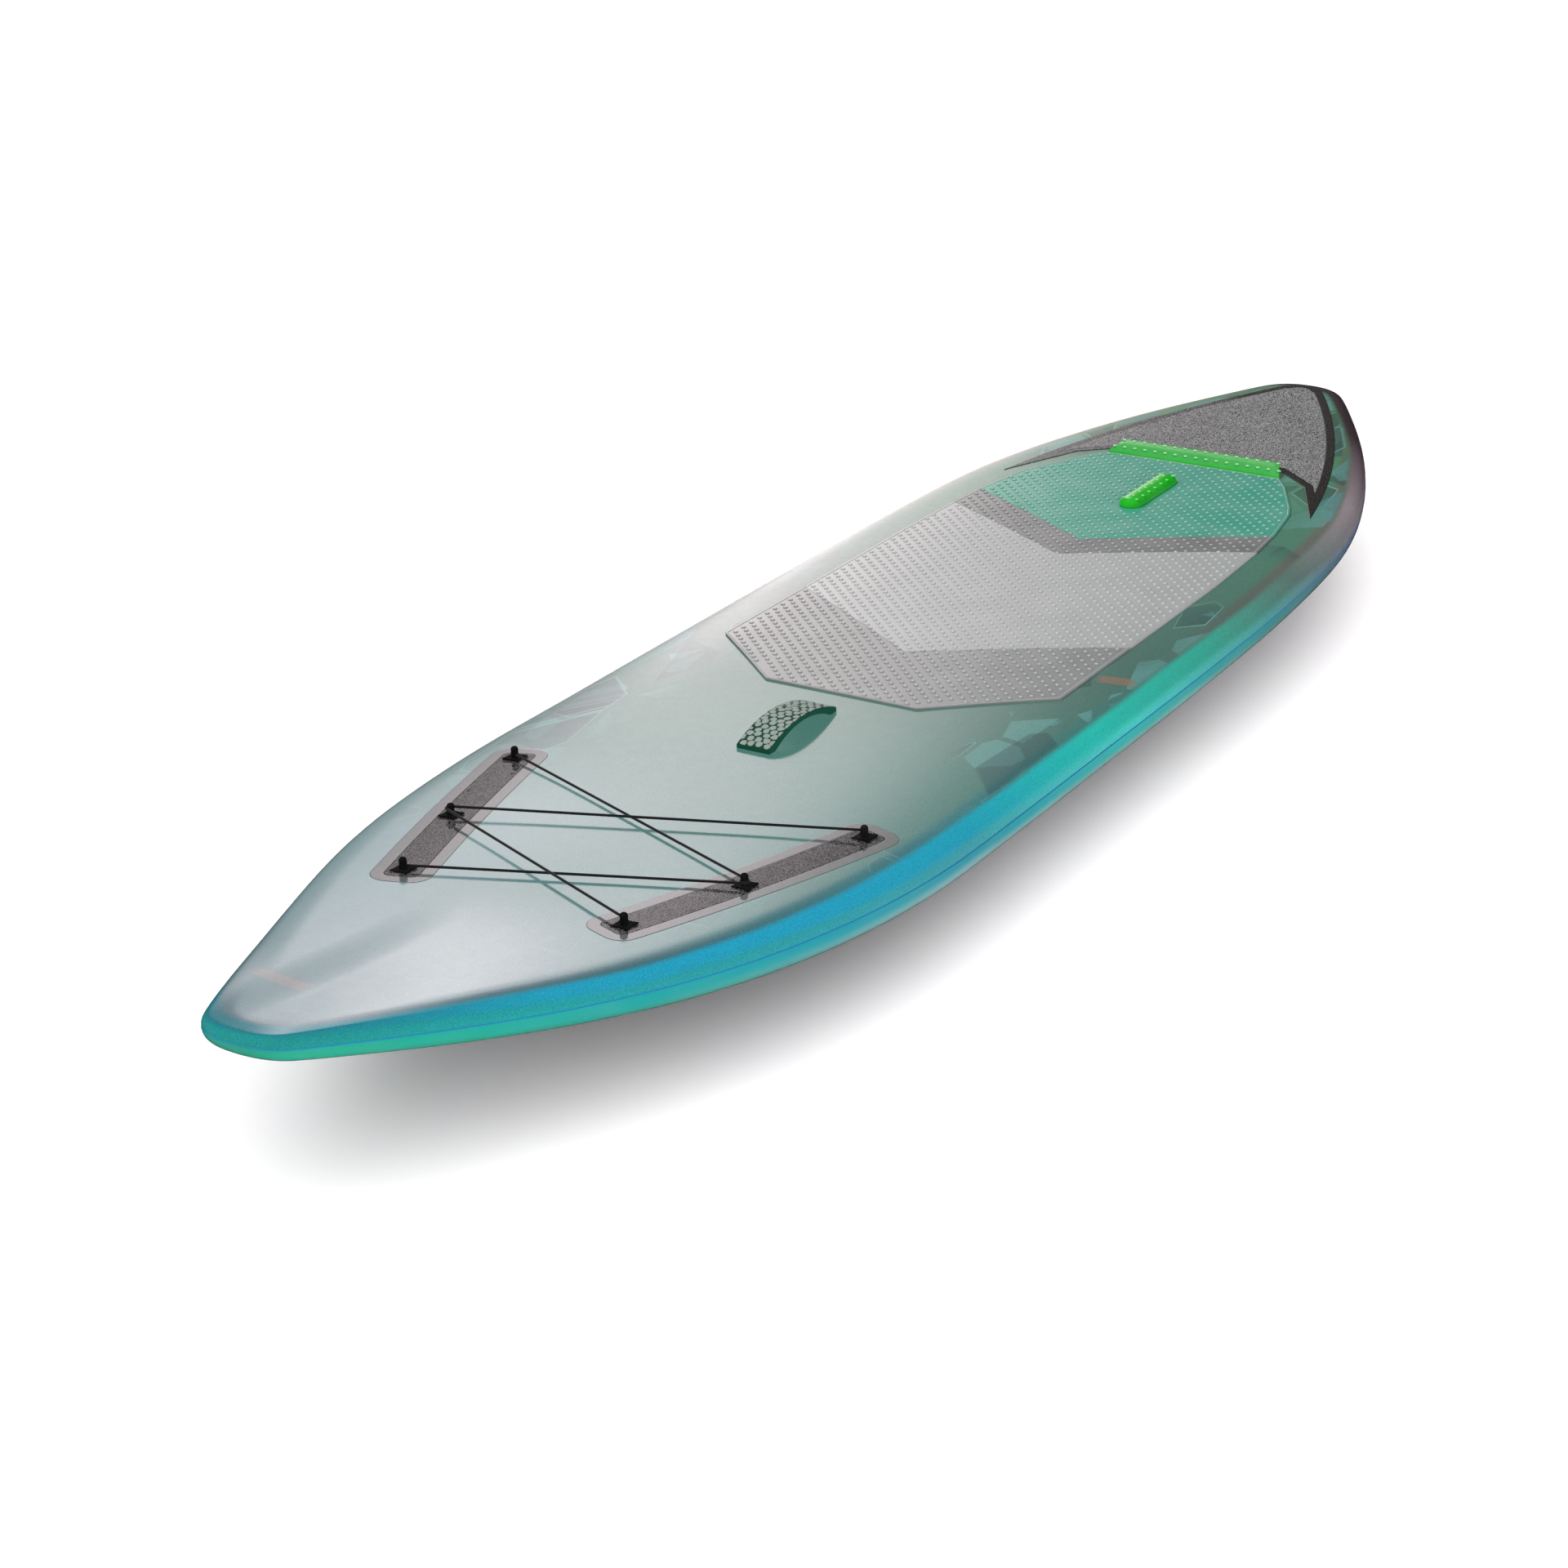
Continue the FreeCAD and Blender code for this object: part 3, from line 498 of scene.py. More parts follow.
def shrunk(loop, depth, closed=True):
    """The counter-clockwise loop, or an open chain, moved to its left-hand side corner by corner."""
    moved = []
    for i, p in enumerate(loop):
        p, a, b = Vector(p), Vector(loop[i - 1]), Vector(loop[(i + 1) % len(loop)])
        u, v = (p - a).normalized(), (b - p).normalized()
        if not closed and i == 0:
            u = v
        if not closed and i == len(loop) - 1:
            v = u
        n1, n2 = Vector((-u.y, u.x)), Vector((-v.y, v.x))
        both = n1 + n2
        both = both / max(both.dot(n1), 0.3) if both.length > 1e-6 else n1
        moved.append((p.x + both.x * depth, p.y + both.y * depth))
    return moved


def inside(loop, x, y):
    odd = False
    for (x1, y1), (x2, y2) in zip(loop, loop[1:] + loop[:1]):
        if (y1 > y) != (y2 > y) and x < (x2 - x1) * (y - y1) / (y2 - y1) + x1:
            odd = not odd
    return odd


def filled(loop, step):
    """Points and triangles over the loop, with a grid inside it, and where each point came from."""
    points = [Vector(p) for p in loop]
    count = len(points)
    core = shrunk(loop, step * 0.45)
    xs, ys = [p[0] for p in loop], [p[1] for p in loop]
    x = math.floor(min(xs) / step) * step
    while x < max(xs):
        y = math.floor(min(ys) / step) * step
        while y < max(ys):
            if inside(core, x, y):
                points.append(Vector((x, y)))
            y += step
        x += step
    edges = [(i, (i + 1) % count) for i in range(count)]
    out = geometry.delaunay_2d_cdt(points, edges, [], 1, 1e-5)
    return [tuple(p) for p in out[0]], [tuple(f) for f in out[2]], out[3]


UNDERSIDE = -0.25       # how far a glued sheet goes into the deck
RIM_STEP = 10.0
RIM_RINGS = 5


def sheet_on_deck(loop, thick, edge, step, joined=None):
    """A closed sheet that follows the deck. Its upper edges are rounded, except where joined says so."""
    loop = divided(upright(loop), RIM_STEP)
    plain = [bool(joined and joined(*p)) for p in loop]
    levels = ((0.0, 0.0, UNDERSIDE), (0.0, 0.0, thick - edge), (edge * 0.3, 0.0, thick - edge * 0.3),
              (edge, 0.0, thick), (edge + 0.9, 0.9, thick))
    rings = [[a if still else b for a, b, still in zip(shrunk(loop, seam_depth), shrunk(loop, depth), plain)]
             for depth, seam_depth, _ in levels]
    count = len(loop)
    verts = [(x, y, deck_at(x, y) + level[2]) for level, ring in zip(levels, rings) for x, y in ring]
    faces = webbed(RIM_RINGS, count)
    for ring_index, height, flip in ((RIM_RINGS - 1, thick, False), (0, UNDERSIDE, True)):
        points, triangles, origin = filled(rings[ring_index], step)
        places = {}
        for i, source in enumerate(origin):
            first = [s for s in source if s < count]
            if first:
                places[i] = ring_index * count + first[0]
        for i, p in enumerate(points):
            if i not in places:
                places[i] = len(verts)
                verts.append((*p, deck_at(*p) + height))
        for f in triangles:
            mapped = tuple(places[i] for i in f)
            if len(set(mapped)) == len(mapped):
                faces.append(mapped[::-1] if flip else mapped)
    return verts, faces


def add_dome(verts, faces, marks, x, y, base, profile, segments):
    """A closed stud, from its profile's radii and heights. Marks say how high each point stands."""
    start, peak = len(verts), profile[-1][1]
    for radius, height in profile[:-1]:
        for k in range(segments):
            a = 2 * math.pi * k / segments
            marks[len(verts)] = max(height / peak, 0.0) ** 1.5
            verts.append((x + radius * math.cos(a), y + radius * math.sin(a), base + height))
    top = len(verts)
    marks[top] = 1.0
    verts.append((x, y, base + peak))
    faces += peaked(start, len(profile) - 1, segments, top)


def crowned(obj, marks):
    """Stores how high up its stud each point stands, for the painted highlights on the crowns."""
    return stored(obj, "crown", [marks.get(i, 0.0) for i in range(len(obj.data.vertices))])


def crisp(obj, count=None, limit=0.95):
    """Keeps the walls and small bevels of a flat piece sharp against its top."""
    for face in obj.data.polygons[:count]:
        if abs(face.normal.z) < limit:
            face.use_smooth = False
    return obj


# ---------------------------------------------------------------- deck pad
PAD_BASE = 3.0
PAD_ROUNDING = 0.8
PAD_GRID = 22.0
PAD_FRONT, PAD_REAR = 178.0, -1066
PAD_EDGE = ((PAD_FRONT, 134.0), (33.0, 302.0), (-533, 299), (-707, 292), (-800, 283), (-900, 265),
            (-937, 250), (-1028, 200), (PAD_REAR, 172))
PAD_CORNER_RADII = (0, 10, 12, 60, 60, 60, 50, 20, 30, 0, 0)
CHEVRONS = ((-19.0, -209.0), (-536.0, -708.0), (-619.0, -795.0))    # X in the middle and at the side
CHEVRON_HALF = 300.0
BAR_X = (-975.0, -797.0)
BAR_HALF_WIDTH = 21.0
BAR_CLEARANCE = (10, 8)
STUD_STEP = (12.0, 12.45)
STUD_START = 49.0
STUD_MARGIN = 8.5
STUD_PROFILE = ((4.3, -0.4), (4.2, 0.15), (3.7, 0.9), (2.7, 1.45), (1.4, 1.75), (0.0, 1.85))

port_edge = rounded([(PAD_FRONT, 0.0), *PAD_EDGE, (PAD_REAR, 0.0)], PAD_CORNER_RADII)[1:-1]


def edge_crossing(chevron):
    """Where a chevron meets the pad's port edge: a point and the index of the next edge corner."""
    for i, (a, b) in enumerate(zip(port_edge, port_edge[1:])):
        gap_a, gap_b = (p[0] - (chevron[0] + (chevron[1] - chevron[0]) * p[1] / CHEVRON_HALF) for p in (a, b))
        if gap_a > 0 >= gap_b:
            return between(a, b, gap_a / (gap_a - gap_b)), i + 1
    raise ValueError("the chevron misses the edge")


def zone_loop(front, rear):
    """The outline of the pad between two chevrons, or from its front or to its rear end."""
    port, first, last, end = [(PAD_FRONT, 0.0)], 0, None, [(PAD_REAR, 0.0)]
    if front:
        point, first = edge_crossing(front)
        port = [(front[0], 0.0), point]
    if rear:
        point, last = edge_crossing(rear)
        end = [point, (rear[0], 0.0)]
    return mirrored_loop(port + port_edge[first:last] + end)


def lattice(x_range, y_range):
    """Places of the pad's studs: a square lattice turned by 45 degrees."""
    rows = range(int((x_range[0] - STUD_START) / STUD_STEP[0]) - 1,
                 int((x_range[1] - STUD_START) / STUD_STEP[0]) + 2)
    columns = range(int(y_range[0] / STUD_STEP[1]) - 1, int(y_range[1] / STUD_STEP[1]) + 2)
    return [(STUD_START + i * STUD_STEP[0], j * STUD_STEP[1]) for i in rows for j in columns if (i + j) % 2]


def on_chevron(x, y):
    return any(abs(x - a - (b - a) * abs(y) / CHEVRON_HALF) < 0.5 for a, b in CHEVRONS)


def under_bar(x, y):
    along, across = BAR_CLEARANCE
    return BAR_X[0] - along < x < BAR_X[1] + along and abs(y) < BAR_HALF_WIDTH + across


whole_pad = zone_loop(None, None)
margin = shrunk(whole_pad, STUD_MARGIN)
zones = []
ends = [None, *CHEVRONS, None]
for zone_name, shade, front, rear in zip(("front", "middle", "stripe", "rear"),
                                         ("dark_grey", "light_grey", "mid_grey", "teal"), ends, ends[1:]):
    loop = zone_loop(front, rear)
    verts, faces = sheet_on_deck(loop, PAD_BASE, PAD_ROUNDING, PAD_GRID, on_chevron)
    sheet_faces, marks = len(faces), {}
    xs = [p[0] for p in loop]
    for x, y in lattice((min(xs), max(xs)), (-CHEVRON_HALF, CHEVRON_HALF)):
        if inside(margin, x, y) and inside(loop, x, y) and not under_bar(x, y):
            add_dome(verts, faces, marks, x, y, deck_at(x, y) + PAD_BASE, STUD_PROFILE, 12)
    zone = crisp(crowned(made(f"pad_{zone_name}", verts, faces), marks), sheet_faces)
    zones.append(stands_for(zone, f"deck_pad_{zone_name}"))


def welt(loop, inset, radius, rise, sides=6):
    """A thin bead pressed into the pad's skin just inside its edge."""
    line = divided(shrunk(loop, inset), 8.0)
    verts = []
    for i, (x, y) in enumerate(line):
        a, b = line[i - 1], line[(i + 1) % len(line)]
        side = Vector((b[1] - a[1], a[0] - b[0])).normalized()
        z = deck_at(x, y) + rise
        for k in range(sides):
            t = 2 * math.pi * k / sides
            verts.append((x + side.x * radius * math.cos(t), y + side.y * radius * math.cos(t),
                          z + radius * 0.8 * math.sin(t)))
    return cleaned(made("pad_welt", verts, webbed(len(line), sides, wrapped=True)))


pad_welt = stands_for(welt(whole_pad, 4.0, 0.75, PAD_BASE + 0.1), None)


# ---------------------------------------------------------------- kick pad and arch bar
KICK_X = (-1066.0, -1111.0)
KICK_HALF = (172.0, 151.0)
KICK_HEIGHT = 17.0
KICK_STEPS = 96
KICK_STUD = ((4.6, -0.8), (4.6, 0.2), (4.0, 1.0), (2.9, 1.5), (1.5, 1.8), (0, 1.9))
KICK_STUD_SPACING = 20.4
BAR_PROFILE = ((0.4, -0.6), (0.0, 1.2), (0.3, 3.2), (1.4, 6.2), (3.4, 9.1), (6.2, 11.4), (9.6, 13.0),
               (13.2, 13.9), (17.0, 14.3), (20.2, 14.4))       # distance in from the side, and height
BAR_STUD_MARGIN, BAR_STUD_REACH = 12, 16
BAR_STUD = ((3.9, -0.8), (3.9, 0.1), (3.3, 0.8), (2.0, 1.3), (0, 1.5))


def arc_points(cx, cz, radius, start, stop, count):
    """Points of an arc between two angles in degrees, both ends among them."""
    angles = [math.radians(start + (stop - start) * k / count) for k in range(count + 1)]
    return [(cx + radius * math.cos(a), cz + radius * math.sin(a)) for a in angles]


def kick_pad():
    """A wedge with soft edges and two staggered rows of studs on its top."""
    front, rear = KICK_X
    top = deck_z(front, 0) + KICK_HEIGHT - deck_z(rear, 0)
    low, step = -0.3, 0.32 * top
    soft, soft_front = 3.2, 1.8
    section = [(front, low), (front - 0.35, low + 0.4 * step)]
    section += arc_points(front - 1.2 - soft_front, step - soft_front, soft_front, 15, 70, 5)
    section += [(front - 18, step + (top - step) * 0.5), (rear + 12, top + 0.3)]
    section += arc_points(rear + soft, top - soft, soft, 90, 180, 5)
    section += [(rear, low + 0.3 * top), (rear, low)]
    middle = (front + rear) / 2
    verts, faces, marks = [], [], {}
    for k in range(KICK_STEPS + 1):
        from_end = min(k, KICK_STEPS - k)
        t = -1 + 2 * k / KICK_STEPS
        ease = {0: 0.72, 1: 0.9, 2: 0.97}.get(from_end, 1.0)
        for x, z in section:
            if ease < 1.0 and z > low + 0.5:
                x = middle + (x - middle) * (0.5 + 0.5 * ease)
                z = low + (z - low) * (0.4 + 0.6 * ease)
            reach = KICK_HALF[0] + (KICK_HALF[1] - KICK_HALF[0]) * (x - front) / (rear - front)
            reach -= 0 if from_end else 1.5
            y = reach * (t if from_end > 2 else math.copysign(1 - 0.006 * from_end, t))
            verts.append((x, y, deck_at(rear, y) + z))
    faces += webbed(KICK_STEPS + 1, len(section), capped=True)
    for row, (x, shift) in enumerate(((front - 15.5, 0.0), (rear + 9.5, 0.5))):
        share = (front - 3 - x) / (front - 3 - rear - 8)
        height = step + (top - step) * min(max(share, 0), 1) + 0.3
        for i in range(-8, 9 - row):
            y = (i + shift) * KICK_STUD_SPACING
            add_dome(verts, faces, marks, x, y, deck_at(rear, y) + height, KICK_STUD, 14)
    pad = crowned(cleaned(made("kick_ridge", verts, faces)), marks)
    return stands_for(pad, "kick_pad")


def stadium(half_length, radius, count=14, straight=12):
    """A ring round a straight middle, counter-clockwise, along X."""
    ring, length = [], 2 * half_length
    for sign in (1, -1):
        turns = [math.pi * (-0.5 * sign + k / count) for k in range(count + 1)]
        ring += [(sign * half_length + radius * math.cos(a), radius * math.sin(a)) for a in turns]
        ring += [(sign * (half_length - length * k / straight), sign * radius) for k in range(1, straight)]
    return ring


def arch_bar():
    """A long rounded cushion along the middle of the rear pad, studded on its crown."""
    rear, front = BAR_X
    middle = (rear + front) / 2
    foot = deck_at(middle, 0) + PAD_BASE
    reach = (front - rear) / 2 - BAR_HALF_WIDTH
    verts, marks = [], {}
    for inset, height in BAR_PROFILE:
        verts += [(middle + x, y, foot + height) for x, y in stadium(reach, BAR_HALF_WIDTH - inset)]
    faces = webbed(len(BAR_PROFILE), len(stadium(reach, BAR_HALF_WIDTH)), capped=True)
    for x, y in lattice(BAR_X, (-BAR_STUD_REACH, BAR_STUD_REACH)):
        if rear + BAR_STUD_MARGIN < x < front - BAR_STUD_MARGIN and abs(y) < BAR_STUD_REACH:
            inset = BAR_HALF_WIDTH - abs(y)
            pairs = zip(BAR_PROFILE[1:], BAR_PROFILE[2:])
            base = next(h0 + (h1 - h0) * (inset - i0) / (i1 - i0)
                        for (i0, h0), (i1, h1) in pairs if i0 <= inset <= i1 + 1)
            add_dome(verts, faces, marks, x, y, foot + base - 0.2, BAR_STUD, 12)
    bar = crowned(cleaned(made("arch_cushion", verts, faces)), marks)
    return stands_for(bar, "arch_bar")


ridge, cushion = kick_pad(), arch_bar()


# ---------------------------------------------------------------- handle's scaled grip
HANDLE_X = (237.0, 428.0)
HANDLE_GAP = 20.0
HANDLE_THICKNESS = 6.0
HANDLE_SECTION = ((-28.0, 0.0), (-28.0, 0.4), (-27.4, 0.75), (27.4, 0.75), (28.0, 0.4), (28.0, 0.0))
HANDLE_STEPS = 60
SCALE_PITCH = 13.4
SCALE_SIDES = 12
SCALE_MARGIN = 6.6


def held(value, limit):
    return max(min(value, limit), -limit)


def handle_parts():
    """The grip's ground and the scales on it, laid along the handle's arc."""
    rear, front = HANDLE_X
    middle, half = (rear + front) / 2, (front - rear) / 2
    radius = (half ** 2 + HANDLE_GAP ** 2) / (2 * HANDLE_GAP)
    centre = deck_z(middle, 0) + HANDLE_THICKNESS + HANDLE_GAP - radius
    run = radius * math.asin(half / radius)

    def on_arc(s, y, h):
        a = s / radius
        return (middle + (radius + h) * math.sin(a), y, centre + (radius + h) * math.cos(a))

    verts = []
    for k in range(HANDLE_STEPS + 1):
        s = (-run + 0.6) + (2 * run - 1.2) * k / HANDLE_STEPS
        verts += [on_arc(s, y, h) for y, h in HANDLE_SECTION]
    faces = webbed(HANDLE_STEPS + 1, len(HANDLE_SECTION), capped=True)
    ground = stands_for(cleaned(made("handle_skin", verts, faces)), "handle_grip")

    verts, faces = [], []
    draw = random.Random(31)
    rows = int(2 * run / (SCALE_PITCH * 0.86))
    for i in range(rows + 1):
        s = -run + SCALE_MARGIN + i * (2 * run - 2 * SCALE_MARGIN) / rows
        for j in range(-3, 4):
            y = (j + (0.5 if i % 2 else 0.0)) * SCALE_PITCH
            if abs(y) > HANDLE_SECTION[-1][0]:
                continue
            turn = draw.uniform(0, 6.28)
            bumps = [1 + draw.uniform(-0.2, 0.12) for _ in range(6)]
            size, tall = draw.uniform(5.6, 6.3), draw.uniform(0.45, 0.8)
            cs, cy = s + draw.uniform(-1.3, 1.3), y + draw.uniform(-1.3, 1.3)
            start = len(verts)
            levels = ((1.0, 0.3), (0.97, 0.75), (0.82, 0.85 + 0.35 * tall), (0.5, 0.85 + 0.7 * tall))
            for width, height in levels:
                for k in range(SCALE_SIDES):
                    a = turn + 2 * math.pi * k / SCALE_SIDES
                    r = size * width * bumps[k // 2] * (1.06 if k % 2 else 0.98)
                    verts.append(on_arc(held(cs + r * math.cos(a), run - 0.9),
                                        held(cy + r * math.sin(a), 27.3), height))
            top = len(verts)
            verts.append(on_arc(held(cs, run - 2), held(cy, 25.5), 0.85 + 0.76 * tall))
            faces += peaked(start, len(levels), SCALE_SIDES, top)
    return ground, stands_for(cleaned(made("handle_scales", verts, faces)), None)


handle_skin, handle_scales = handle_parts()


# ---------------------------------------------------------------- bungee cords, braided
POSTS = ((1030.0, 181.0), (838.0, 245.0), (612.0, 298.0))      # port side, nose to tail
STRIP_THICKNESS = 1.2
CORD_RADIUS = 2.0
CORD_RISES = (6.4, 11.0)
WRAP_RADIUS = 6.3
RUN_STEPS, WRAP_STEPS = 216, 14


def cord_route(start, turn, end):
    """Two runs and the arc round the middle post, as points with a small step."""
    normal = (start - turn).cross(end - turn).normalized()
    ends = []
    for far in (start, end):
        along = (far - turn).normalized()
        across = normal.cross(along)
        if across.dot(start + end - turn * 2) > 0:
            across = -across
        sine = WRAP_RADIUS / (far - turn).length
        ends.append(turn + along * (WRAP_RADIUS * sine) + across * (WRAP_RADIUS * math.sqrt(1 - sine * sine)))
    outward = (turn * 2 - start - end).normalized()
    first, last = ends[0] - turn, ends[1] - turn
    sweep = first.angle(outward) + last.angle(outward)
    axis = first.cross(outward).normalized()
    points = [start + (ends[0] - start) * (k / RUN_STEPS) for k in range(RUN_STEPS)]
    points += [turn + Matrix.Rotation(sweep * k / WRAP_STEPS, 3, axis) @ first for k in range(WRAP_STEPS)]
    return points + [ends[1] + (end - ends[1]) * (k / RUN_STEPS) for k in range(RUN_STEPS + 1)]


def braided(name, points, radius, sides=14, strands=7, pitch=9.0):
    """A tube whose skin is raised where the sheath's strands pass over each other."""
    verts, run = [], 0.0
    across = (points[1] - points[0]).normalized().cross(Vector((0, 0, 1))).normalized()
    for i, p in enumerate(points):
        along = (points[min(i + 1, len(points) - 1)] - points[max(i - 1, 0)]).normalized()
        across = (across - along * across.dot(along)).normalized()
        other = along.cross(across)
        if i:
            run += (p - points[i - 1]).length
        for k in range(sides):
            a = 2 * math.pi * k / sides
            left = math.sin(strands / 2 * a + 2 * math.pi * run / pitch)
            back = math.sin(strands / 2 * a - 2 * math.pi * run / pitch)
            r = radius * (0.955 + 0.045 * max(left * left, back * back))
            verts.append(p + across * (r * math.cos(a)) + other * (r * math.sin(a)))
    return cleaned(made(name, verts, webbed(len(points), sides, capped=True)))


cords = []
for letter, side, rise in (("a", -1, CORD_RISES[0]), ("b", 1, CORD_RISES[1])):
    stops = [Vector((x, y * sign, deck_z(x, y) + STRIP_THICKNESS + rise))
             for (x, y), sign in zip(POSTS, (side, -side, side))]
    cord = braided(f"bungee_{letter}", cord_route(*stops), CORD_RADIUS)
    cords.append(stands_for(cord, f"bungee_cord_{letter}"))


# ---------------------------------------------------------------- grit strips and tail grip
STRIP_LINE = ((1030.0, 179.0), (838.0, 238.5), (612.0, 297.0))
STRIP_WIDTH = 53.0
STRIP_OVERRUN = 24.0
STRIP_CORNER = 12.0
STRIP_FILM = 0.55
BORDER_WIDTH = 17.6
BORDER_FILM = 0.45
STRIP_SAND = (4.0, 0.06)        # how far apart the raised points are, and how high
TAIL_SAND = (5.0, 0.12)
GRIP_THICKNESS = 1.4
GRIP_BORDER = 16.0
GRIP_FRONT = ((-1110.0, 0.0), (-1110.0, 150.0), (-1053.0, 225.0), (-907.0, 300.0))
GRIP_SIDE = ((-907.0, 300.0), (-1233.0, 205.0), (-1560.0, 38.0))
GRIP_TAIL = -1576.0


def circle_of(a, b, c):
    """Centre and radius of the circle through three points."""
    d = 2 * (a[0] * (b[1] - c[1]) + b[0] * (c[1] - a[1]) + c[0] * (a[1] - b[1]))
    sq = [p[0] ** 2 + p[1] ** 2 for p in (a, b, c)]
    ux = (sq[0] * (b[1] - c[1]) + sq[1] * (c[1] - a[1]) + sq[2] * (a[1] - b[1])) / d
    uy = (sq[0] * (c[0] - b[0]) + sq[1] * (a[0] - c[0]) + sq[2] * (b[0] - a[0])) / d
    return (ux, uy), math.hypot(a[0] - ux, a[1] - uy)


def arc_between(a, b, c, count):
    """Points on the arc from a through b to c."""
    (ux, uy), radius = circle_of(a, b, c)
    first = math.atan2(a[1] - uy, a[0] - ux)
    sweep = (math.atan2(c[1] - uy, c[0] - ux) - first + math.pi) % (2 * math.pi) - math.pi
    angles = [first + sweep * k / count for k in range(count + 1)]
    return [(ux + radius * math.cos(a), uy + radius * math.sin(a)) for a in angles]


def strip_loop(grow, sign):
    """A strip's outline with round corners, along the arc of the posts."""
    (ux, uy), radius = circle_of(*STRIP_LINE)
    angles = [math.atan2(p[1] - uy, p[0] - ux) for p in STRIP_LINE]
    over = math.copysign((STRIP_OVERRUN - STRIP_CORNER) / radius, angles[2] - angles[0])
    start, stop = angles[0] - over, angles[2] + over
    half = STRIP_WIDTH / 2 - STRIP_CORNER
    round_off = STRIP_CORNER + grow
    turns = [start + (stop - start) * k / 40 for k in range(41)]
    core = [(radius + half, a) for a in turns] + [(radius - half, a) for a in reversed(turns)]
    core = upright([(ux + r * math.cos(a), (uy + r * math.sin(a)) * sign) for r, a in core])
    points = []
    for i, p in enumerate(core):
        u = (Vector(p) - Vector(core[i - 1])).normalized()
        v = (Vector(core[(i + 1) % len(core)]) - Vector(p)).normalized()
        first, last = Vector((u.y, -u.x)), Vector((v.y, -v.x))
        turn = first.angle_signed(last)
        pieces = max(1, int(abs(turn) / 0.18))
        for k in range(pieces + 1 if pieces > 1 else 1):
            n = first.copy()
            n.rotate(Matrix.Rotation(-turn * k / pieces, 2))
            points.append((p[0] + n.x * round_off, p[1] + n.y * round_off))
    return points


def gritty(name, loop, thick, sand, node):
    """A sheet with sand in it: its inner points stand up by small random amounts."""
    step, rough = sand
    verts, faces = sheet_on_deck(loop, thick, 0.3, step)
    rims = RIM_RINGS * len(divided(upright(loop), RIM_STEP))
    draw = random.Random(5)
    lifted = []
    for i, (x, y, z) in enumerate(verts):
        if i >= rims and z > deck_at(x, y) + thick / 2:
            x, y = x + draw.uniform(-0.3, 0.3) * step, y + draw.uniform(-0.3, 0.3) * step
            z = deck_at(x, y) + thick + draw.uniform(-rough, rough)
        lifted.append((x, y, z))
    return stands_for(crisp(cleaned(made(name, lifted, faces), gaps=True), rims), node)


def ring_on_deck(name, outer, inner, thick, node):
    """A flat band between two loops that have the same number of points."""
    levels = ((outer, 0.0, UNDERSIDE), (outer, 0.0, thick - 0.2), (outer, 0.3, thick), (outer, 1.1, thick),
              (inner, -1.1, thick), (inner, -0.3, thick), (inner, 0.0, thick - 0.2), (inner, 0.0, UNDERSIDE))
    verts = [(x, y, deck_at(x, y) + height)
             for loop, depth, height in levels for x, y in (shrunk(loop, depth) if depth else loop)]
    band = crisp(cleaned(made(name, verts, webbed(len(levels), len(outer), wrapped=True))))
    return stands_for(band, node)


strips, borders = [], []
for side, sign in (("port", 1), ("starboard", -1)):
    strips.append(gritty(f"strip_{side}", strip_loop(-1.4, sign), STRIP_FILM, STRIP_SAND,
                         f"grip_strip_{side}"))
    borders.append(ring_on_deck(f"border_{side}", strip_loop(BORDER_WIDTH, sign), strip_loop(-1.2, sign),
                                BORDER_FILM, f"strip_border_{side}"))


def respaced(chain, count):
    """The chain with evenly spaced points."""
    run = run_along(chain)
    marks = [run[-1] * k / count for k in range(count + 1)]
    xs, ys = (np.interp(marks, run, [p[axis] for p in chain]) for axis in (0, 1))
    return [(float(x), float(y)) for x, y in zip(xs, ys)]


def tail_loop(inset):
    """The tail grip's outline, or the same line moved in. Both have the same number of points."""
    front, side = list(GRIP_FRONT), arc_between(*GRIP_SIDE, 80)
    if inset:
        front, side = shrunk(front, inset, False), shrunk(side, inset, False)
        (ux, uy), radius = circle_of(side[0], side[40], side[80])
        a, b = Vector(front[-2]), Vector(front[-1])
        outside = [math.hypot(*(a + (b - a) * k / 400 - Vector((ux, uy)))) > radius for k in range(401)]
        cut = next(k for k in range(1, 401) if outside[k] != outside[0]) / 400
        horn = a + (b - a) * cut
        front[-1] = tuple(horn)
        side = [tuple(horn)] + [p for p in side if p[0] < horn.x - 1.0]
    port = [between(a, b, k / n) for a, b, n in zip(front, front[1:], (12, 9, 14)) for k in range(n)]
    x, y = GRIP_SIDE[-1]
    end = arc_between((x, y), (GRIP_TAIL, 0.0), (x, -y), 16)[:9]
    if inset:
        end = [(ex + inset, ey * side[-1][1] / y) for ex, ey in end]
    return mirrored_loop(port + respaced(side, 60)[:-1] + end)


tail_grip = gritty("tail_sheet", tail_loop(GRIP_BORDER + 0.2), GRIP_THICKNESS, TAIL_SAND,
                   "tail_grip")
tail_border = ring_on_deck("tail_edging", tail_loop(0.0), tail_loop(GRIP_BORDER), GRIP_THICKNESS - 0.2,
                           "tail_grip_border")


# ---------------------------------------------------------------- materials
def linear(*rgb):
    """Screen values from 0 to 255 as linear colour."""
    return tuple((c / 255 / 12.92) if c <= 10 else ((c / 255 + 0.055) / 1.055) ** 2.4 for c in rgb) + (1.0,)


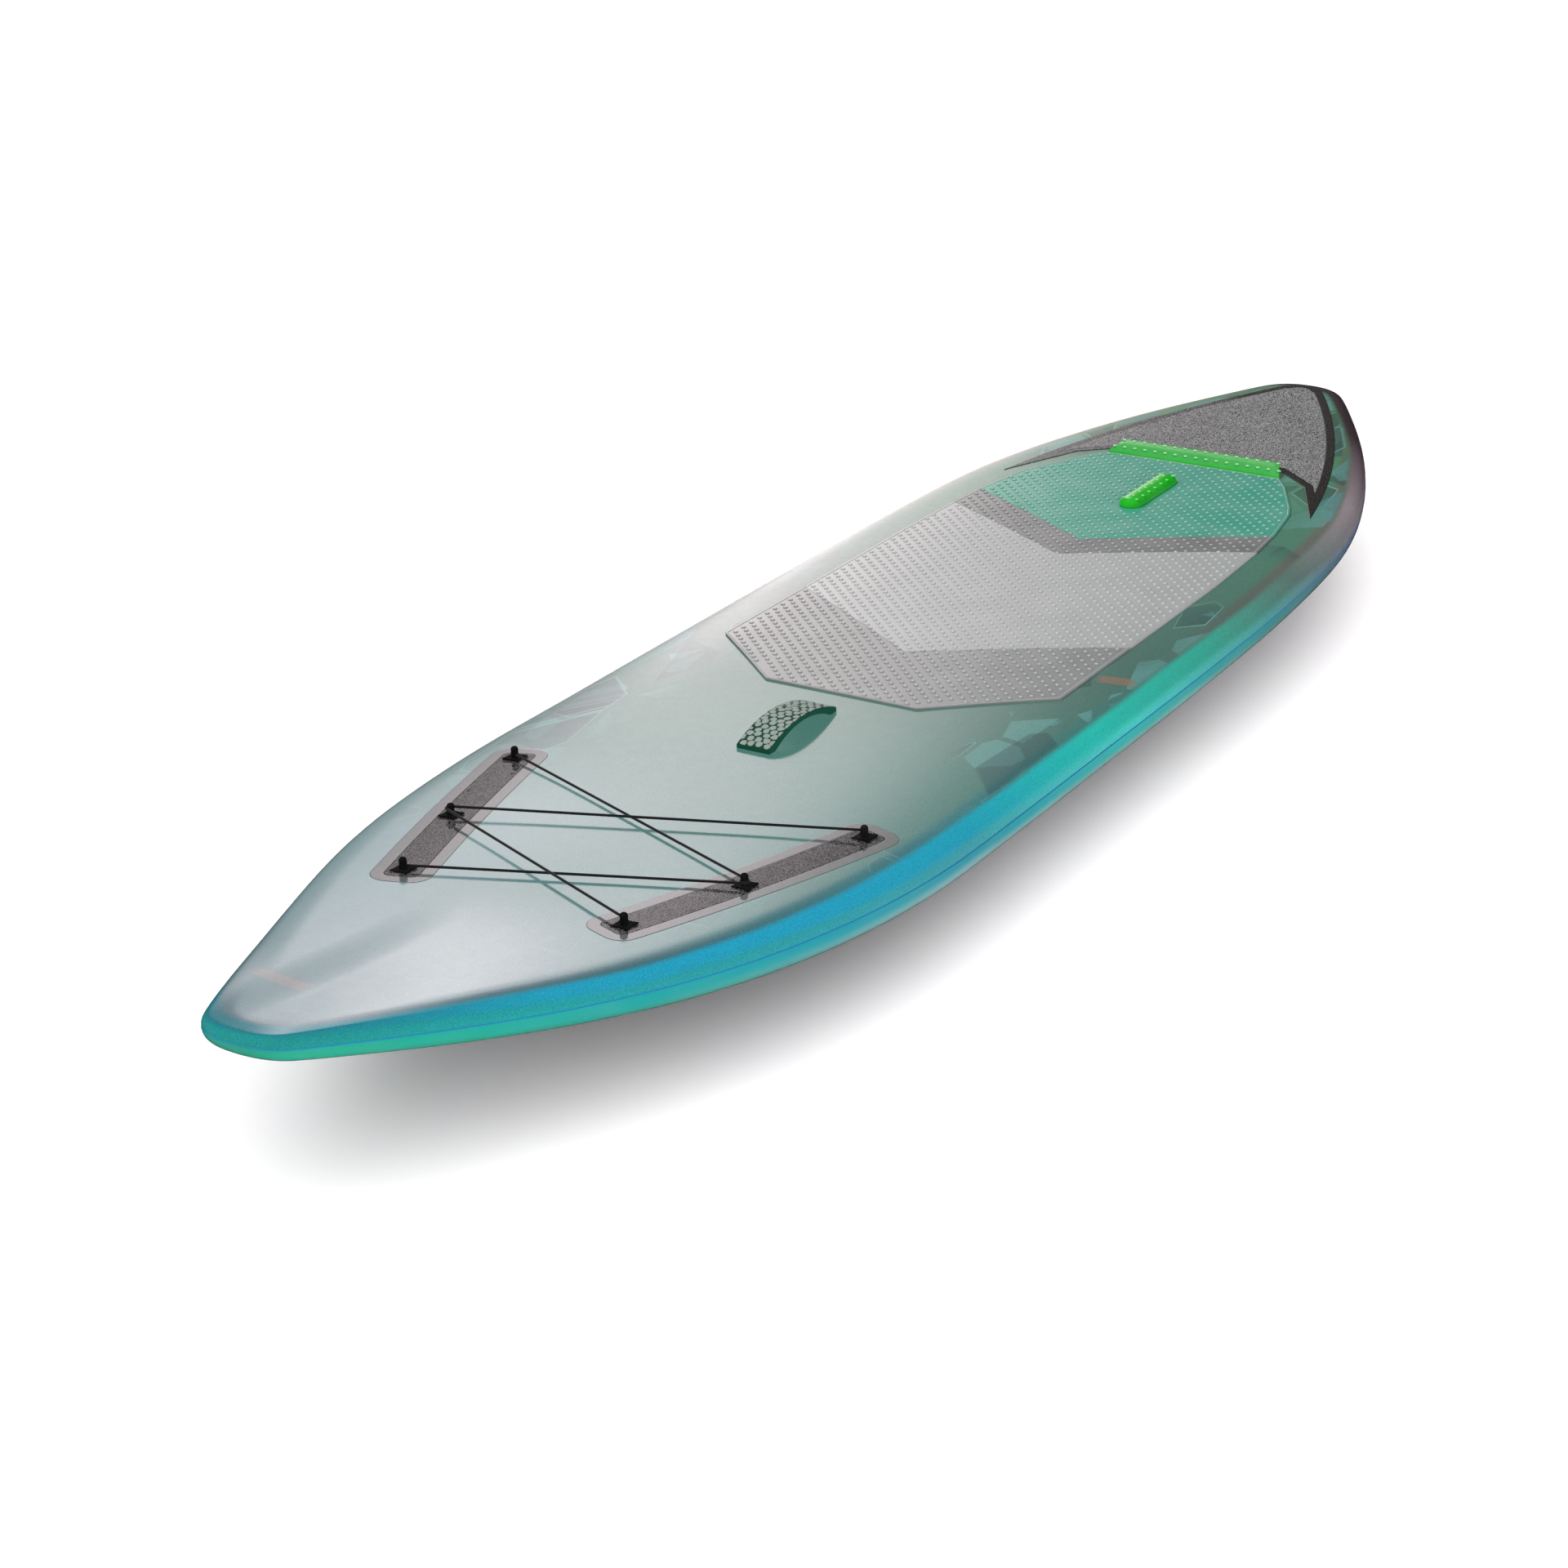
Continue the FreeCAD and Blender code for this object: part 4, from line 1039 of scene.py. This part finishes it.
class Tree:
    """Short names for building a node tree. Three numbers are a screen colour, four a linear one."""

    def __init__(self, tree):
        self.tree = tree

    def add(self, kind, inputs=(), **settings):
        """A new node. Its inputs are pairs of a name or number and what goes in."""
        node = self.tree.nodes.new("ShaderNode" + kind)
        for key, value in settings.items():
            setattr(node, key, value)
        for key, value in inputs:
            self.put(value, node.inputs[key])
        return node

    def put(self, value, socket):
        """Links an output to the socket, or sets the socket to a number or a colour."""
        if isinstance(value, bpy.types.NodeSocket):
            self.tree.links.new(value, socket)
        elif isinstance(value, tuple) and len(value) == 3:
            socket.default_value = linear(*value)
        else:
            socket.default_value = value

    def math(self, operation, *values):
        return self.add("Math", enumerate(values), operation=operation).outputs[0]

    def times(self, product, *others):
        for other in others:
            product = self.math("MULTIPLY", product, other)
        return product

    def span(self, source, low, high, to_low=0.0, to_high=1.0, kind="LINEAR"):
        """The source from low to high, held there, as to_low to to_high."""
        ends = enumerate((source, low, high, to_low, to_high))
        return self.add("MapRange", ends, interpolation_type=kind).outputs[0]

    def ease(self, *values):
        return self.span(*values, kind="SMOOTHSTEP")

    def mix(self, share, a, b):
        return self.add("Mix", ((0, share), (6, a), (7, b)), data_type="RGBA").outputs[2]

    def axes(self, vector):
        return self.add("SeparateXYZ", [(0, vector)]).outputs


class Paint(Tree):
    """One material's nodes."""

    def __init__(self, name):
        self.material = bpy.data.materials.new(name)
        self.material.use_nodes = True
        super().__init__(self.material.node_tree)
        self.shader = self.tree.nodes["Principled BSDF"]
        self.place = self.add("TexCoord").outputs["Object"]

    def set(self, **values):
        for key, value in values.items():
            self.shader.inputs[key.replace("_", " ")].default_value = value

    def coat(self, weight, ior, rough, under=0.1):
        """A clear coat over a surface that mirrors little."""
        self.set(Specular_IOR_Level=under, Coat_Weight=weight, Coat_IOR=ior, Coat_Roughness=rough)

    def mapped(self, scale, turn=0.0):
        node = self.add("Mapping", [("Vector", self.place)])
        node.inputs["Scale"].default_value = scale
        node.inputs["Rotation"].default_value = (0, 0, turn)
        return node.outputs[0]

    def stored(self, name):
        return self.add("Attribute", attribute_name=name).outputs["Fac"]

    def noise(self, scale, detail=2.0, rough=0.5, vector=None, distortion=0.0):
        inputs = (("Scale", scale), ("Detail", detail), ("Roughness", rough),
                  ("Distortion", distortion), ("Vector", vector or self.place))
        return self.add("TexNoise", inputs).outputs["Fac"]

    def cells(self, scale, feature="F1", vector=None, output="Distance"):
        inputs = (("Scale", scale), ("Vector", vector or self.place))
        return self.add("TexVoronoi", inputs, feature=feature).outputs[output]

    def chances(self, scale, vector=None):
        """A random number for each cell."""
        return self.add("SeparateColor", [(0, self.cells(scale, vector=vector, output="Color"))]).outputs[0]

    def ramp(self, source, stops):
        """Colours at places of the source, each stop a place and a colour."""
        node = self.add("ValToRGB", [(0, source)])
        elements = node.color_ramp.elements
        while len(elements) < len(stops):
            elements.new(0.5)
        for element, (place, *color) in zip(elements, stops):
            element.position = place
            element.color = linear(*color)
        return node.outputs[0]

    def tones(self, *stops):
        """Colours along the board, each stop an X in metres and a colour."""
        length = self.span(self.axes(self.place)["X"], *BOARD_ENDS)
        reach = BOARD_ENDS[1] - BOARD_ENDS[0]
        return self.ramp(length, [((x - BOARD_ENDS[0]) / reach, *color) for x, *color in stops])

    def bump(self, height, distance, strength=1.0, onto="Normal", under=None):
        """Raises the surface on top of another bump, and links it unless onto is None."""
        node = self.add("Bump", (("Strength", strength), ("Distance", distance), ("Height", height)))
        if under:
            self.put(under, node.inputs["Normal"])
        if onto:
            self.put(node.outputs[0], self.shader.inputs[onto])
        return node.outputs[0]

    def color(self, source):
        self.put(source, self.shader.inputs["Base Color"])

    def rough(self, source, low, high):
        self.put(self.span(source, 0.3, 0.7, low, high), self.shader.inputs["Roughness"])


BOARD_ENDS = (-1.6, 1.6)


def soft_box(n, x, y, centre, half, turn):
    """One inside a turned rectangle on the deck, fading at its sides."""
    c, s = math.cos(turn), math.sin(turn)
    dx, dy = n.math("SUBTRACT", x, centre[0]), n.math("SUBTRACT", y, centre[1])
    u = n.math("ADD", n.times(dx, c), n.times(dy, s))
    v = n.math("SUBTRACT", n.times(dy, c), n.times(dx, s))
    return n.times(n.ease(n.math("ABSOLUTE", u), half[0], half[0] * 0.55),
                   n.ease(n.math("ABSOLUTE", v), half[1], half[1] * 0.6))


def shards(n, shade, scale, turn, near, light, dark, line):
    """Separate facets with soft corners: some pale, a few dark with a fine pale outline."""
    plan = n.mapped(scale + (0.0,), turn)
    chance = n.chances(1.0, plan)
    edge = n.cells(1.0, "DISTANCE_TO_EDGE", plan)
    island = n.times(near, n.ease(edge, 0.05, 0.075))
    shade = n.mix(n.times(island, n.span(chance, 0.66, 0.67), 0.62), shade, light)
    shade = n.mix(n.times(island, n.span(chance, 0.22, 0.21), 0.5), shade, dark)
    rim = n.times(n.span(edge, 0.045, 0.055), n.span(edge, 0.085, 0.070))
    return n.mix(n.times(near, rim, n.span(chance, 0.10, 0.09), 0.6), shade, line)


def deck_paint():
    """Green paint under a clear coat, with a blue and teal rail band and faint facets beside it, and a
    painted reflection that lifts the nose's starboard half paler.
    """
    n = Paint("deck_gloss_coat")
    x, y, _ = n.axes(n.place)
    band = n.stored("band")
    wander = n.math("MULTIPLY_ADD", n.noise(3.0), 0.014, n.math("SUBTRACT", band, 0.007))
    field = n.tones((-1.6, 66, 142, 78), (-1.35, 70, 142, 92), (-0.9, 78, 138, 112), (-0.5, 76, 126, 110),
                    (-0.15, 68, 114, 102), (0.15, 72, 124, 112), (0.4, 78, 132, 122), (0.9, 86, 134, 132),
                    (1.3, 94, 136, 142), (1.6, 100, 140, 148))
    shoulder = n.tones((-1.6, 45, 20, 26), (-1.35, 50, 28, 38), (-1.2, 116, 96, 108), (-1.0, 160, 146, 152),
                       (-0.65, 96, 124, 116), (-0.3, 48, 176, 154), (0.1, 20, 200, 186), (0.5, 2, 166, 194),
                       (0.85, 0, 162, 198), (1.25, 0, 160, 192), (1.45, 0, 140, 158), (1.6, 0, 128, 142))
    low = n.tones((-1.6, 120, 112, 124), (-1.35, 142, 140, 152), (-1.0, 158, 148, 158), (-0.8, 116, 130, 138),
                  (-0.5, 76, 166, 160), (0.0, 62, 210, 202), (0.5, 54, 160, 172), (0.9, 24, 156, 166),
                  (1.3, 0, 160, 162), (1.6, 0, 150, 146))
    fringe = n.tones((-1.6, 52, 120, 76), (-0.9, 110, 116, 106), (-0.5, 92, 108, 98), (0.1, 64, 128, 120),
                     (0.6, 60, 130, 138), (1.1, 56, 108, 116), (1.6, 84, 122, 134))
    # starboard marks the nose's starboard half, where a painted reflection goes: there the dark fringe gives
    # way to the deck's field colour
    starboard = n.times(n.ease(y, 0.06, -0.24), n.ease(x, 0.45, 0.9))
    fringe = n.mix(starboard, fringe, field)
    near_nose = n.times(n.ease(x, 0.5, 1.0, 0.0, 0.010), n.ease(x, 1.58, 1.48))
    far_side = n.ease(y, 0.03, -0.16, 0.0, 0.024)
    reach = n.math("ADD", n.math("ADD", wander, near_nose), far_side)
    shade = n.mix(n.ease(wander, 0.010, 0.024), low, shoulder)
    shade = n.mix(n.ease(reach, 0.043, 0.056), shade, fringe)
    shade = n.mix(n.ease(reach, 0.062, 0.080), shade, field)
    rim = n.times(n.ease(band, 0.048, 0.060), n.ease(band, 0.20, 0.13))
    near = n.times(rim, n.ease(n.noise(1.7, 1.0), 0.44, 0.56), n.ease(x, 0.35, 1.1, 1.0, 0.12))
    shade = shards(n, shade, (9.0, 17.0), 0.3, near, (104, 168, 164), (22, 62, 68), (150, 200, 196))
    shade = shards(n, shade, (5.0, 12.0), -0.4, near, (92, 154, 156), (30, 74, 84), (120, 176, 180))
    streak = soft_box(n, x, y, (1.424, -0.068), (0.016, 0.062), -0.12)
    shade = n.mix(n.times(streak, 0.3), shade, (206, 140, 130))
    bar = soft_box(n, x, y, (-0.084, 0.338), (0.017, 0.034), 0.29)
    shade = n.mix(n.times(bar, 0.7), shade, (150, 116, 92))
    grain = n.noise(1100.0, 1.0, 0.7)
    shade = n.mix(n.span(grain, 0.35, 0.65, 0.0, 0.07), shade, (190, 206, 204))
    shade = n.mix(n.span(n.noise(620.0, 1.0), 0.38, 0.62, 0.24, 0.0), shade, (10, 30, 32))
    # painted reflection: the starboard half of the nose is lifted towards a pale silver blue
    n.color(n.mix(n.times(starboard, n.ease(reach, 0.045, 0.075), 0.34), shade, (186, 204, 212)))
    n.coat(1.0, 1.9, 0.045, 0.05)
    n.rough(n.noise(60.0, 3.0), 0.32, 0.45)
    n.bump(grain, 0.00006, 0.5)
    roll = n.times(n.ease(band, 0.010, 0.058), n.ease(x, 1.0, 1.35), n.ease(y, -0.10, -0.01))
    rolled = n.bump(roll, 0.0046, onto=None)
    n.bump(n.noise(700.0, 2.0, 0.6), 0.00009, 0.5, "Coat Normal", rolled)
    return n.material


def hull_paint():
    """The hull's teal paint, turning blue at the nose and violet grey at the tail, under the same coat; its
    paler lower rail band is partly its own tone and partly a painted reflection.
    """
    n = Paint("hull_gloss_coat")
    band = n.stored("band")
    wander = n.math("MULTIPLY_ADD", n.noise(3.0), 0.02, n.math("SUBTRACT", band, 0.01))
    high = n.tones((-1.6, 60, 36, 42), (-1.35, 84, 62, 74), (-1.1, 108, 104, 116), (-0.85, 96, 118, 128),
                   (-0.5, 54, 148, 148), (0.0, 40, 178, 174), (0.5, 36, 144, 160), (0.9, 20, 146, 158),
                   (1.3, 0, 158, 144), (1.6, 20, 164, 130))
    # the lower rail band: a paler tone that is partly the paint's own and partly a painted reflection
    deep = n.tones((-1.6, 52, 36, 44), (-1.2, 92, 90, 104), (-0.7, 90, 142, 142), (-0.2, 150, 200, 196),
                   (0.5, 150, 188, 190), (0.9, 86, 160, 156), (1.2, 36, 160, 138), (1.6, 40, 168, 128))
    shade = n.mix(n.ease(wander, -0.008, -0.032), high, deep)
    shade = n.mix(n.span(n.noise(5.0, 3.0, 0.6), 0.42, 0.7, 0.0, 0.25), shade, (92, 160, 158))
    shade = n.mix(n.ease(wander, -0.075, -0.13), shade, (112, 116, 118))
    grain = n.noise(800.0, 2.0, 0.7)
    n.color(n.mix(n.span(grain, 0.25, 0.75, 0.0, 0.03), shade, (205, 214, 214)))
    n.coat(1.0, 1.7, 0.06, 0.05)
    n.rough(n.noise(50.0, 3.0), 0.32, 0.46)
    n.bump(grain, 0.00005, 0.4)
    n.bump(n.noise(8.0), 0.0006, 0.25, "Coat Normal")
    return n.material


def seam_paint():
    n = Paint("seam_lacquer")
    tone = n.tones((-1.6, 40, 70, 150), (-1.0, 44, 130, 210), (-0.3, 34, 120, 190), (0.4, 36, 110, 160),
                   (1.1, 28, 132, 178), (1.6, 36, 146, 176))
    fine = n.noise(500.0)
    n.color(n.mix(n.span(fine, 0.4, 0.7, 0.0, 0.3), tone, (20, 70, 120)))
    n.rough(fine, 0.25, 0.4)
    n.set(Specular_IOR_Level=0.1, Coat_Weight=0.8)
    n.bump(fine, 0.00004, 0.4)
    return n.material


def foam_skin(n, shade, coat_rough=0.07, pale=(226, 230, 228), crown=0.0):
    """Closed-cell foam: fine pores under a polished skin, with painted highlights on the crowns of its studs.
    """
    pores = n.cells(1300.0)
    fine = n.noise(620.0, 3.0, 0.65)
    shade = n.mix(n.span(fine, 0.3, 0.7, 0.14, 0.0), shade, (60, 62, 62))
    shade = n.mix(n.span(n.noise(14.0, 3.0), 0.35, 0.7, 0.0, 0.08), shade, pale)
    shade = n.mix(n.span(pores, 0.0, 0.22, 0.12, 0.0), shade, (30, 34, 34))
    # painted highlight: the stud crowns are mixed towards the pale colour by their height
    if crown:
        shade = n.mix(n.times(n.stored("crown"), crown), shade, pale)
    n.color(shade)
    n.rough(fine, 0.4, 0.56)
    n.coat(1.0, 1.6, coat_rough)
    n.bump(n.math("ADD", fine, n.times(pores, -0.35)), 0.00015, 0.5)
    n.bump(fine, 0.00004, 0.3, "Coat Normal")
    return n.material


def pad_foam():
    """The deck pad's colours change at its chevrons, right through the studs that stand there."""
    n = Paint("foam_pad")
    x, y, _ = n.axes(n.place)
    away = n.math("ABSOLUTE", y)
    shade = (134, 138, 137)
    for (point, end), color in zip(CHEVRONS, ((170, 174, 173), (116, 119, 118), (52, 160, 136))):
        line = n.math("MULTIPLY_ADD", away, (end - point) / CHEVRON_HALF, point * MM)
        shade = n.mix(n.math("LESS_THAN", x, line), shade, color)
    # with painted highlights on the stud crowns
    return foam_skin(n, shade, crown=0.4)


def foam(name, base, coat_rough=0.08, pale=(226, 230, 228), crown=0.0, darker=0.8):
    """Foam of one colour with broad darker patches."""
    n = Paint(name)
    patch = n.span(n.noise(40.0), 0.3, 0.7, 0.0, 0.2)
    shade = n.mix(patch, base, tuple(c * darker for c in linear(*base)[:3]) + (1.0,))
    return foam_skin(n, shade, coat_rough, pale, crown)


def kick_foam():
    """Green foam painted deep and dull on top and bright on the walls by the way each face turns, a painted
    reflection; with painted highlights on its studs.
    """
    n = Paint("foam_kick")
    facing = n.axes(n.add("NewGeometry").outputs["Normal"])["Z"]
    # painted reflection: faces turned upwards are painted duller and paler than the walls
    shade = n.mix(n.span(facing, 0.55, 0.9), (1, 190, 10), (58, 172, 74))
    return foam_skin(n, shade, 0.1, (176, 240, 182), 1.0)


def grit(name, dark, light, share=0.5, coat=0.6, size=1.0):
    """Sand under lacquer: dark and pale grains of about a millimetre."""
    n = Paint(name)
    coarse = n.noise(480.0 / size, 3.0, 0.75)
    mixed = n.math("MULTIPLY_ADD", coarse, 1.1, n.times(n.chances(950.0 / size), 0.55))
    shade = n.ramp(mixed, [(share + 0.19, *dark), (share + 0.53, *light)])
    n.color(n.mix(n.span(n.noise(9.0), 0.3, 0.7, 0.0, 0.15), shade, dark))
    n.rough(coarse, 0.55, 0.8)
    n.coat(coat, 1.9, 0.06)
    n.bump(mixed, 0.0003, 0.8)
    return n.material


def edging():
    """Black film round the tail sheet, speckled grey along its far front part."""
    n = Paint("tail_edge")
    x, y, _ = n.axes(n.place)
    grains = n.cells(560.0)
    speck = n.mix(n.span(grains, 0.25, 0.55), (150, 150, 150), (40, 40, 42))
    film = n.mix(n.span(n.noise(420.0), 0.4, 0.65), (24, 24, 23), (54, 54, 51))
    n.color(n.mix(n.times(n.ease(y, -0.06, -0.13), n.ease(x, -1.50, -1.42)), film, speck))
    n.rough(grains, 0.5, 0.7)
    n.coat(0.6, 1.9, 0.08)
    n.bump(grains, 0.0001, 0.5)
    return n.material


def moulded(name, base, speck, rough=(0.35, 0.5), bump=0.00008, metal=0.0, scale=500.0, coat=0.0, shine=0.4):
    """Moulded plastic or cast metal with a fine spark-eroded grain."""
    n = Paint(name)
    fine = n.noise(scale, 3.0, 0.7)
    shade = n.mix(n.span(fine, 0.45, 0.75, 0.0, 0.55), base, speck)
    n.color(n.mix(n.span(n.noise(25.0, 3.0), 0.4, 0.7, 0.0, 0.25), shade, speck))
    n.rough(fine, *rough)
    n.set(Metallic=metal, Specular_IOR_Level=shine, Coat_Weight=coat)
    n.bump(fine, bump, 0.6)
    return n.material


def wood():
    n = Paint("stringer_ply")
    rings = n.noise(9.0, 4.0, 0.6, n.mapped((1.0, 8.0, 14.0)), 0.6)
    fine = n.noise(160.0, 3.0, 0.7, n.mapped((0.15, 4.0, 4.0)))
    shade = n.ramp(rings, [(0.3, 150, 108, 64), (0.5, 196, 156, 104), (0.7, 168, 124, 76)])
    n.color(n.mix(n.span(fine, 0.4, 0.7, 0.0, 0.4), shade, (120, 82, 46)))
    n.rough(fine, 0.5, 0.7)
    n.bump(fine, 0.0002, 0.5)
    return n.material


def bead_foam(name, base, joint):
    """Expanded foam: pressed beads with fine joints between them."""
    n = Paint(name)
    edge = n.cells(220.0, "DISTANCE_TO_EDGE")
    n.color(n.mix(n.span(edge, 0.0, 0.08, 0.8, 0.0), base, joint))
    n.rough(n.noise(700.0), 0.7, 0.9)
    n.bump(n.span(edge, 0.0, 0.12), 0.0004, 0.5)
    return n.material


def fabric_cord():
    n = Paint("braided_sheath")
    fine = n.noise(1500.0, 2.0, 0.7)
    fibres = n.noise(420.0, vector=n.mapped((1.0, 1.0, 3.0)))
    shade = n.mix(n.span(fibres, 0.4, 0.7), (10, 10, 11), (34, 34, 37))
    n.color(n.mix(n.span(fine, 0.55, 0.75, 0.0, 0.3), shade, (74, 74, 78)))
    n.rough(fine, 0.55, 0.75)
    n.set(Specular_IOR_Level=0.35, Sheen_Weight=0.15)
    n.bump(fine, 0.00008, 0.6)
    return n.material


def dressed(material, *pieces):
    """Puts one material on the pieces, in place of all they have."""
    for piece in pieces:
        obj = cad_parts[piece] if isinstance(piece, str) else piece
        if not obj.material_slots:
            obj.data.materials.append(material)
        for slot in obj.material_slots:
            slot.material = material


dressed(deck_paint(), deck)
dressed(hull_paint(), hull)
dressed(seam_paint(), seam)
dressed(pad_foam(), *zones)
dressed(foam("foam_welt", (176, 182, 180)), pad_welt)
dressed(kick_foam(), ridge)
# the arch bar's foam, with strong painted highlights on its stud crowns
dressed(foam("foam_green", (1, 190, 10), 0.1, (160, 240, 165), 0.9), cushion)
dressed(moulded("handle_ground", (22, 62, 48), (40, 84, 70), (0.5, 0.7)), handle_skin)
dressed(moulded("handle_scale", (136, 150, 142), (170, 180, 174), (0.4, 0.6), scale=900.0), handle_scales)
dressed(moulded("handle_plastic", (10, 74, 52), (20, 96, 72), (0.25, 0.4), coat=0.5), "handle_strap")
dressed(fabric_cord(), *cords)
dressed(moulded("post_plastic", (14, 14, 15), (46, 46, 48), (0.62, 0.8), 0.00012, scale=650.0, shine=0.12),
        *(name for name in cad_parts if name.startswith("bungee_post")))
dressed(grit("strip_sand", (2, 2, 3), (104, 103, 104), coat=0.42, size=1.35), *strips)
dressed(grit("border_film", (92, 97, 97), (110, 115, 115), 0.4, 1.0), *borders)
dressed(grit("tail_sand", (22, 22, 23), (180, 180, 180), 0.5, 0.45, 1.15), tail_grip)
dressed(edging(), tail_border)
dressed(moulded("fin_nylon", (20, 22, 24), (44, 46, 50), (0.3, 0.48), 0.0001, coat=0.2), "fin")
dressed(moulded("box_moulding", (26, 27, 28), (48, 49, 52), (0.4, 0.6), 0.0001), "fin_box")
dressed(moulded("stainless", (176, 178, 182), (206, 208, 212), (0.2, 0.38), 0.00003, 1.0, 300.0),
        "post_studs", "handle_studs", "fin_screw", "fin_pin")
dressed(moulded("brass_plate", (196, 158, 84), (218, 186, 118), (0.22, 0.4), 0.00003, 1.0, 300.0),
        "fin_nut_plate")
dressed(moulded("insert_nylon", (196, 194, 186), (216, 214, 208), (0.4, 0.55)),
        "post_inserts", "handle_inserts")
dressed(wood(), "stringer")
dressed(bead_foam("core_beads", (232, 232, 228), (190, 190, 186)), "foam_core_port", "foam_core_starboard")
dressed(bead_foam("block_beads", (214, 196, 150), (168, 146, 104)), "handle_core_block", "fin_core_block")


# ---------------------------------------------------------------- floor, light and camera
def floor():
    bpy.ops.mesh.primitive_circle_add(vertices=96, radius=60.0, fill_type="NGON", location=(0, 0, 0))
    ground = bpy.context.object
    ground.name = "studio_floor"
    n = Paint("floor_paper")
    n.color(n.mix(n.span(n.noise(6.0), 0.3, 0.7), (253, 249, 251), (254, 251, 252)))
    n.set(Specular_IOR_Level=0.0, Roughness=0.9)
    dressed(n.material, ground)
    ground.visible_glossy = False
    return ground


def lamp(name, kind, place, target, energy, floor_only, **values):
    """A light that falls on the floor alone, or on all but the floor, and isn't mirrored."""
    data = bpy.data.lights.new(name, kind)
    data.energy = energy
    for key, value in values.items():
        setattr(data, key, value)
    light = bpy.data.objects.new(name, data)
    light.location = place
    light.rotation_euler = (Vector(target) - Vector(place)).to_track_quat("-Z", "Y").to_euler()
    light.visible_glossy = False
    bpy.context.scene.collection.objects.link(light)
    group = bpy.data.collections.new(name + "_reach")
    group.objects.link(ground)
    light.light_linking.receiver_collection = group
    for entry in group.collection_objects:
        entry.light_linking.link_state = "INCLUDE" if floor_only else "EXCLUDE"


ground = floor()
lamp("board_key", "SUN", (2.0, -3.2, 5.4), (0, 0, 0.2), 2.5, False, angle=math.radians(24))
lamp("side_softbox", "AREA", (2.0, 5.0, 1.6), (0, 0, 0.2), 150, False,
     shape="RECTANGLE", size=4.4, size_y=2.0)
lamp("floor_key", "SUN", (0.93, 0.59, 1.0), (0, 0, 0), 4.6, True, angle=math.radians(50))

# the world is plain white, and in mirror images a soft panel high behind the board's far side
GLOW_AZIMUTH = math.radians(214.3)
PANEL = (math.cos(GLOW_AZIMUTH), math.sin(GLOW_AZIMUTH))
world = bpy.data.worlds.new("studio")
bpy.context.scene.world = world
world.use_nodes = True
w = Tree(world.node_tree)
sky_x, sky_y, sky_z = w.axes(w.add("TexCoord").outputs["Generated"])
flat = w.math("SQRT", w.math("ADD", w.times(sky_x, sky_x), w.times(sky_y, sky_y)))
turned = w.math("DIVIDE", w.math("ADD", w.times(sky_x, -PANEL[1]), w.times(sky_y, PANEL[0])), flat)
facing = w.math("GREATER_THAN", w.math("ADD", w.times(sky_x, PANEL[0]), w.times(sky_y, PANEL[1])), 0.0)


def bell(centre, width):
    """A bell round an azimuth, counted from the panel's middle, both in degrees."""
    offset = w.math("SUBTRACT", turned, math.sin(math.radians(centre)))
    spread = w.math("DIVIDE", offset, math.sin(math.radians(width)))
    return w.times(w.math("EXPONENT", w.times(spread, spread, -1.0)), facing)


spot = w.times(bell(1.2, 1.6), w.ease(sky_z, 0.335, 0.30), 0.75)
glow = w.math("ADD", w.times(bell(0.0, 6.3), 1.86), spot)
glow = w.math("ADD", w.times(glow, w.ease(sky_z, -0.23, -0.16), w.ease(sky_z, 0.80, 0.55)), 0.03)
paths = w.add("LightPath").outputs
mirrored = w.math("SUBTRACT", 1.0, w.math("MAXIMUM", paths["Is Diffuse Ray"], paths["Is Camera Ray"]))
plain = w.math("ADD", w.times(paths["Is Diffuse Ray"], 0.36), paths["Is Camera Ray"])
background = w.tree.nodes["Background"]
w.put(w.math("ADD", plain, w.times(glow, mirrored)), background.inputs["Strength"])
w.put(w.mix(mirrored, (1.0, 1.0, 1.0, 1.0), (1.0, 0.88, 0.90, 1.0)), background.inputs["Color"])

azimuth, dip, roll = math.radians(212.3731), math.radians(23.5113), math.radians(-1.7094)
look = Vector((math.cos(dip) * math.cos(azimuth), math.cos(dip) * math.sin(azimuth), -math.sin(dip)))
right = Vector((math.sin(azimuth), -math.cos(azimuth), 0))
above = right.cross(look)
axis_x = right * math.cos(roll) + above * math.sin(roll)
axis_y = above * math.cos(roll) - right * math.sin(roll)
lens = bpy.data.cameras.new("camera")
lens.lens, lens.sensor_width = 77.66, 36.0
lens.clip_end = 200.0
camera = bpy.data.objects.new("camera", lens)
camera.matrix_world = Matrix((axis_x, axis_y, -look)).transposed().to_4x4()
camera.location = (4.2695, 2.4875, 2.2134)
bpy.context.scene.collection.objects.link(camera)
bpy.context.scene.camera = camera
bpy.context.scene.view_settings.view_transform = "Standard"

# the photo shows no shadow under the handle and the cords
for piece in (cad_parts["handle_strap"], handle_skin, handle_scales, *cords):
    piece.visible_shadow = False
    piece.visible_diffuse = False
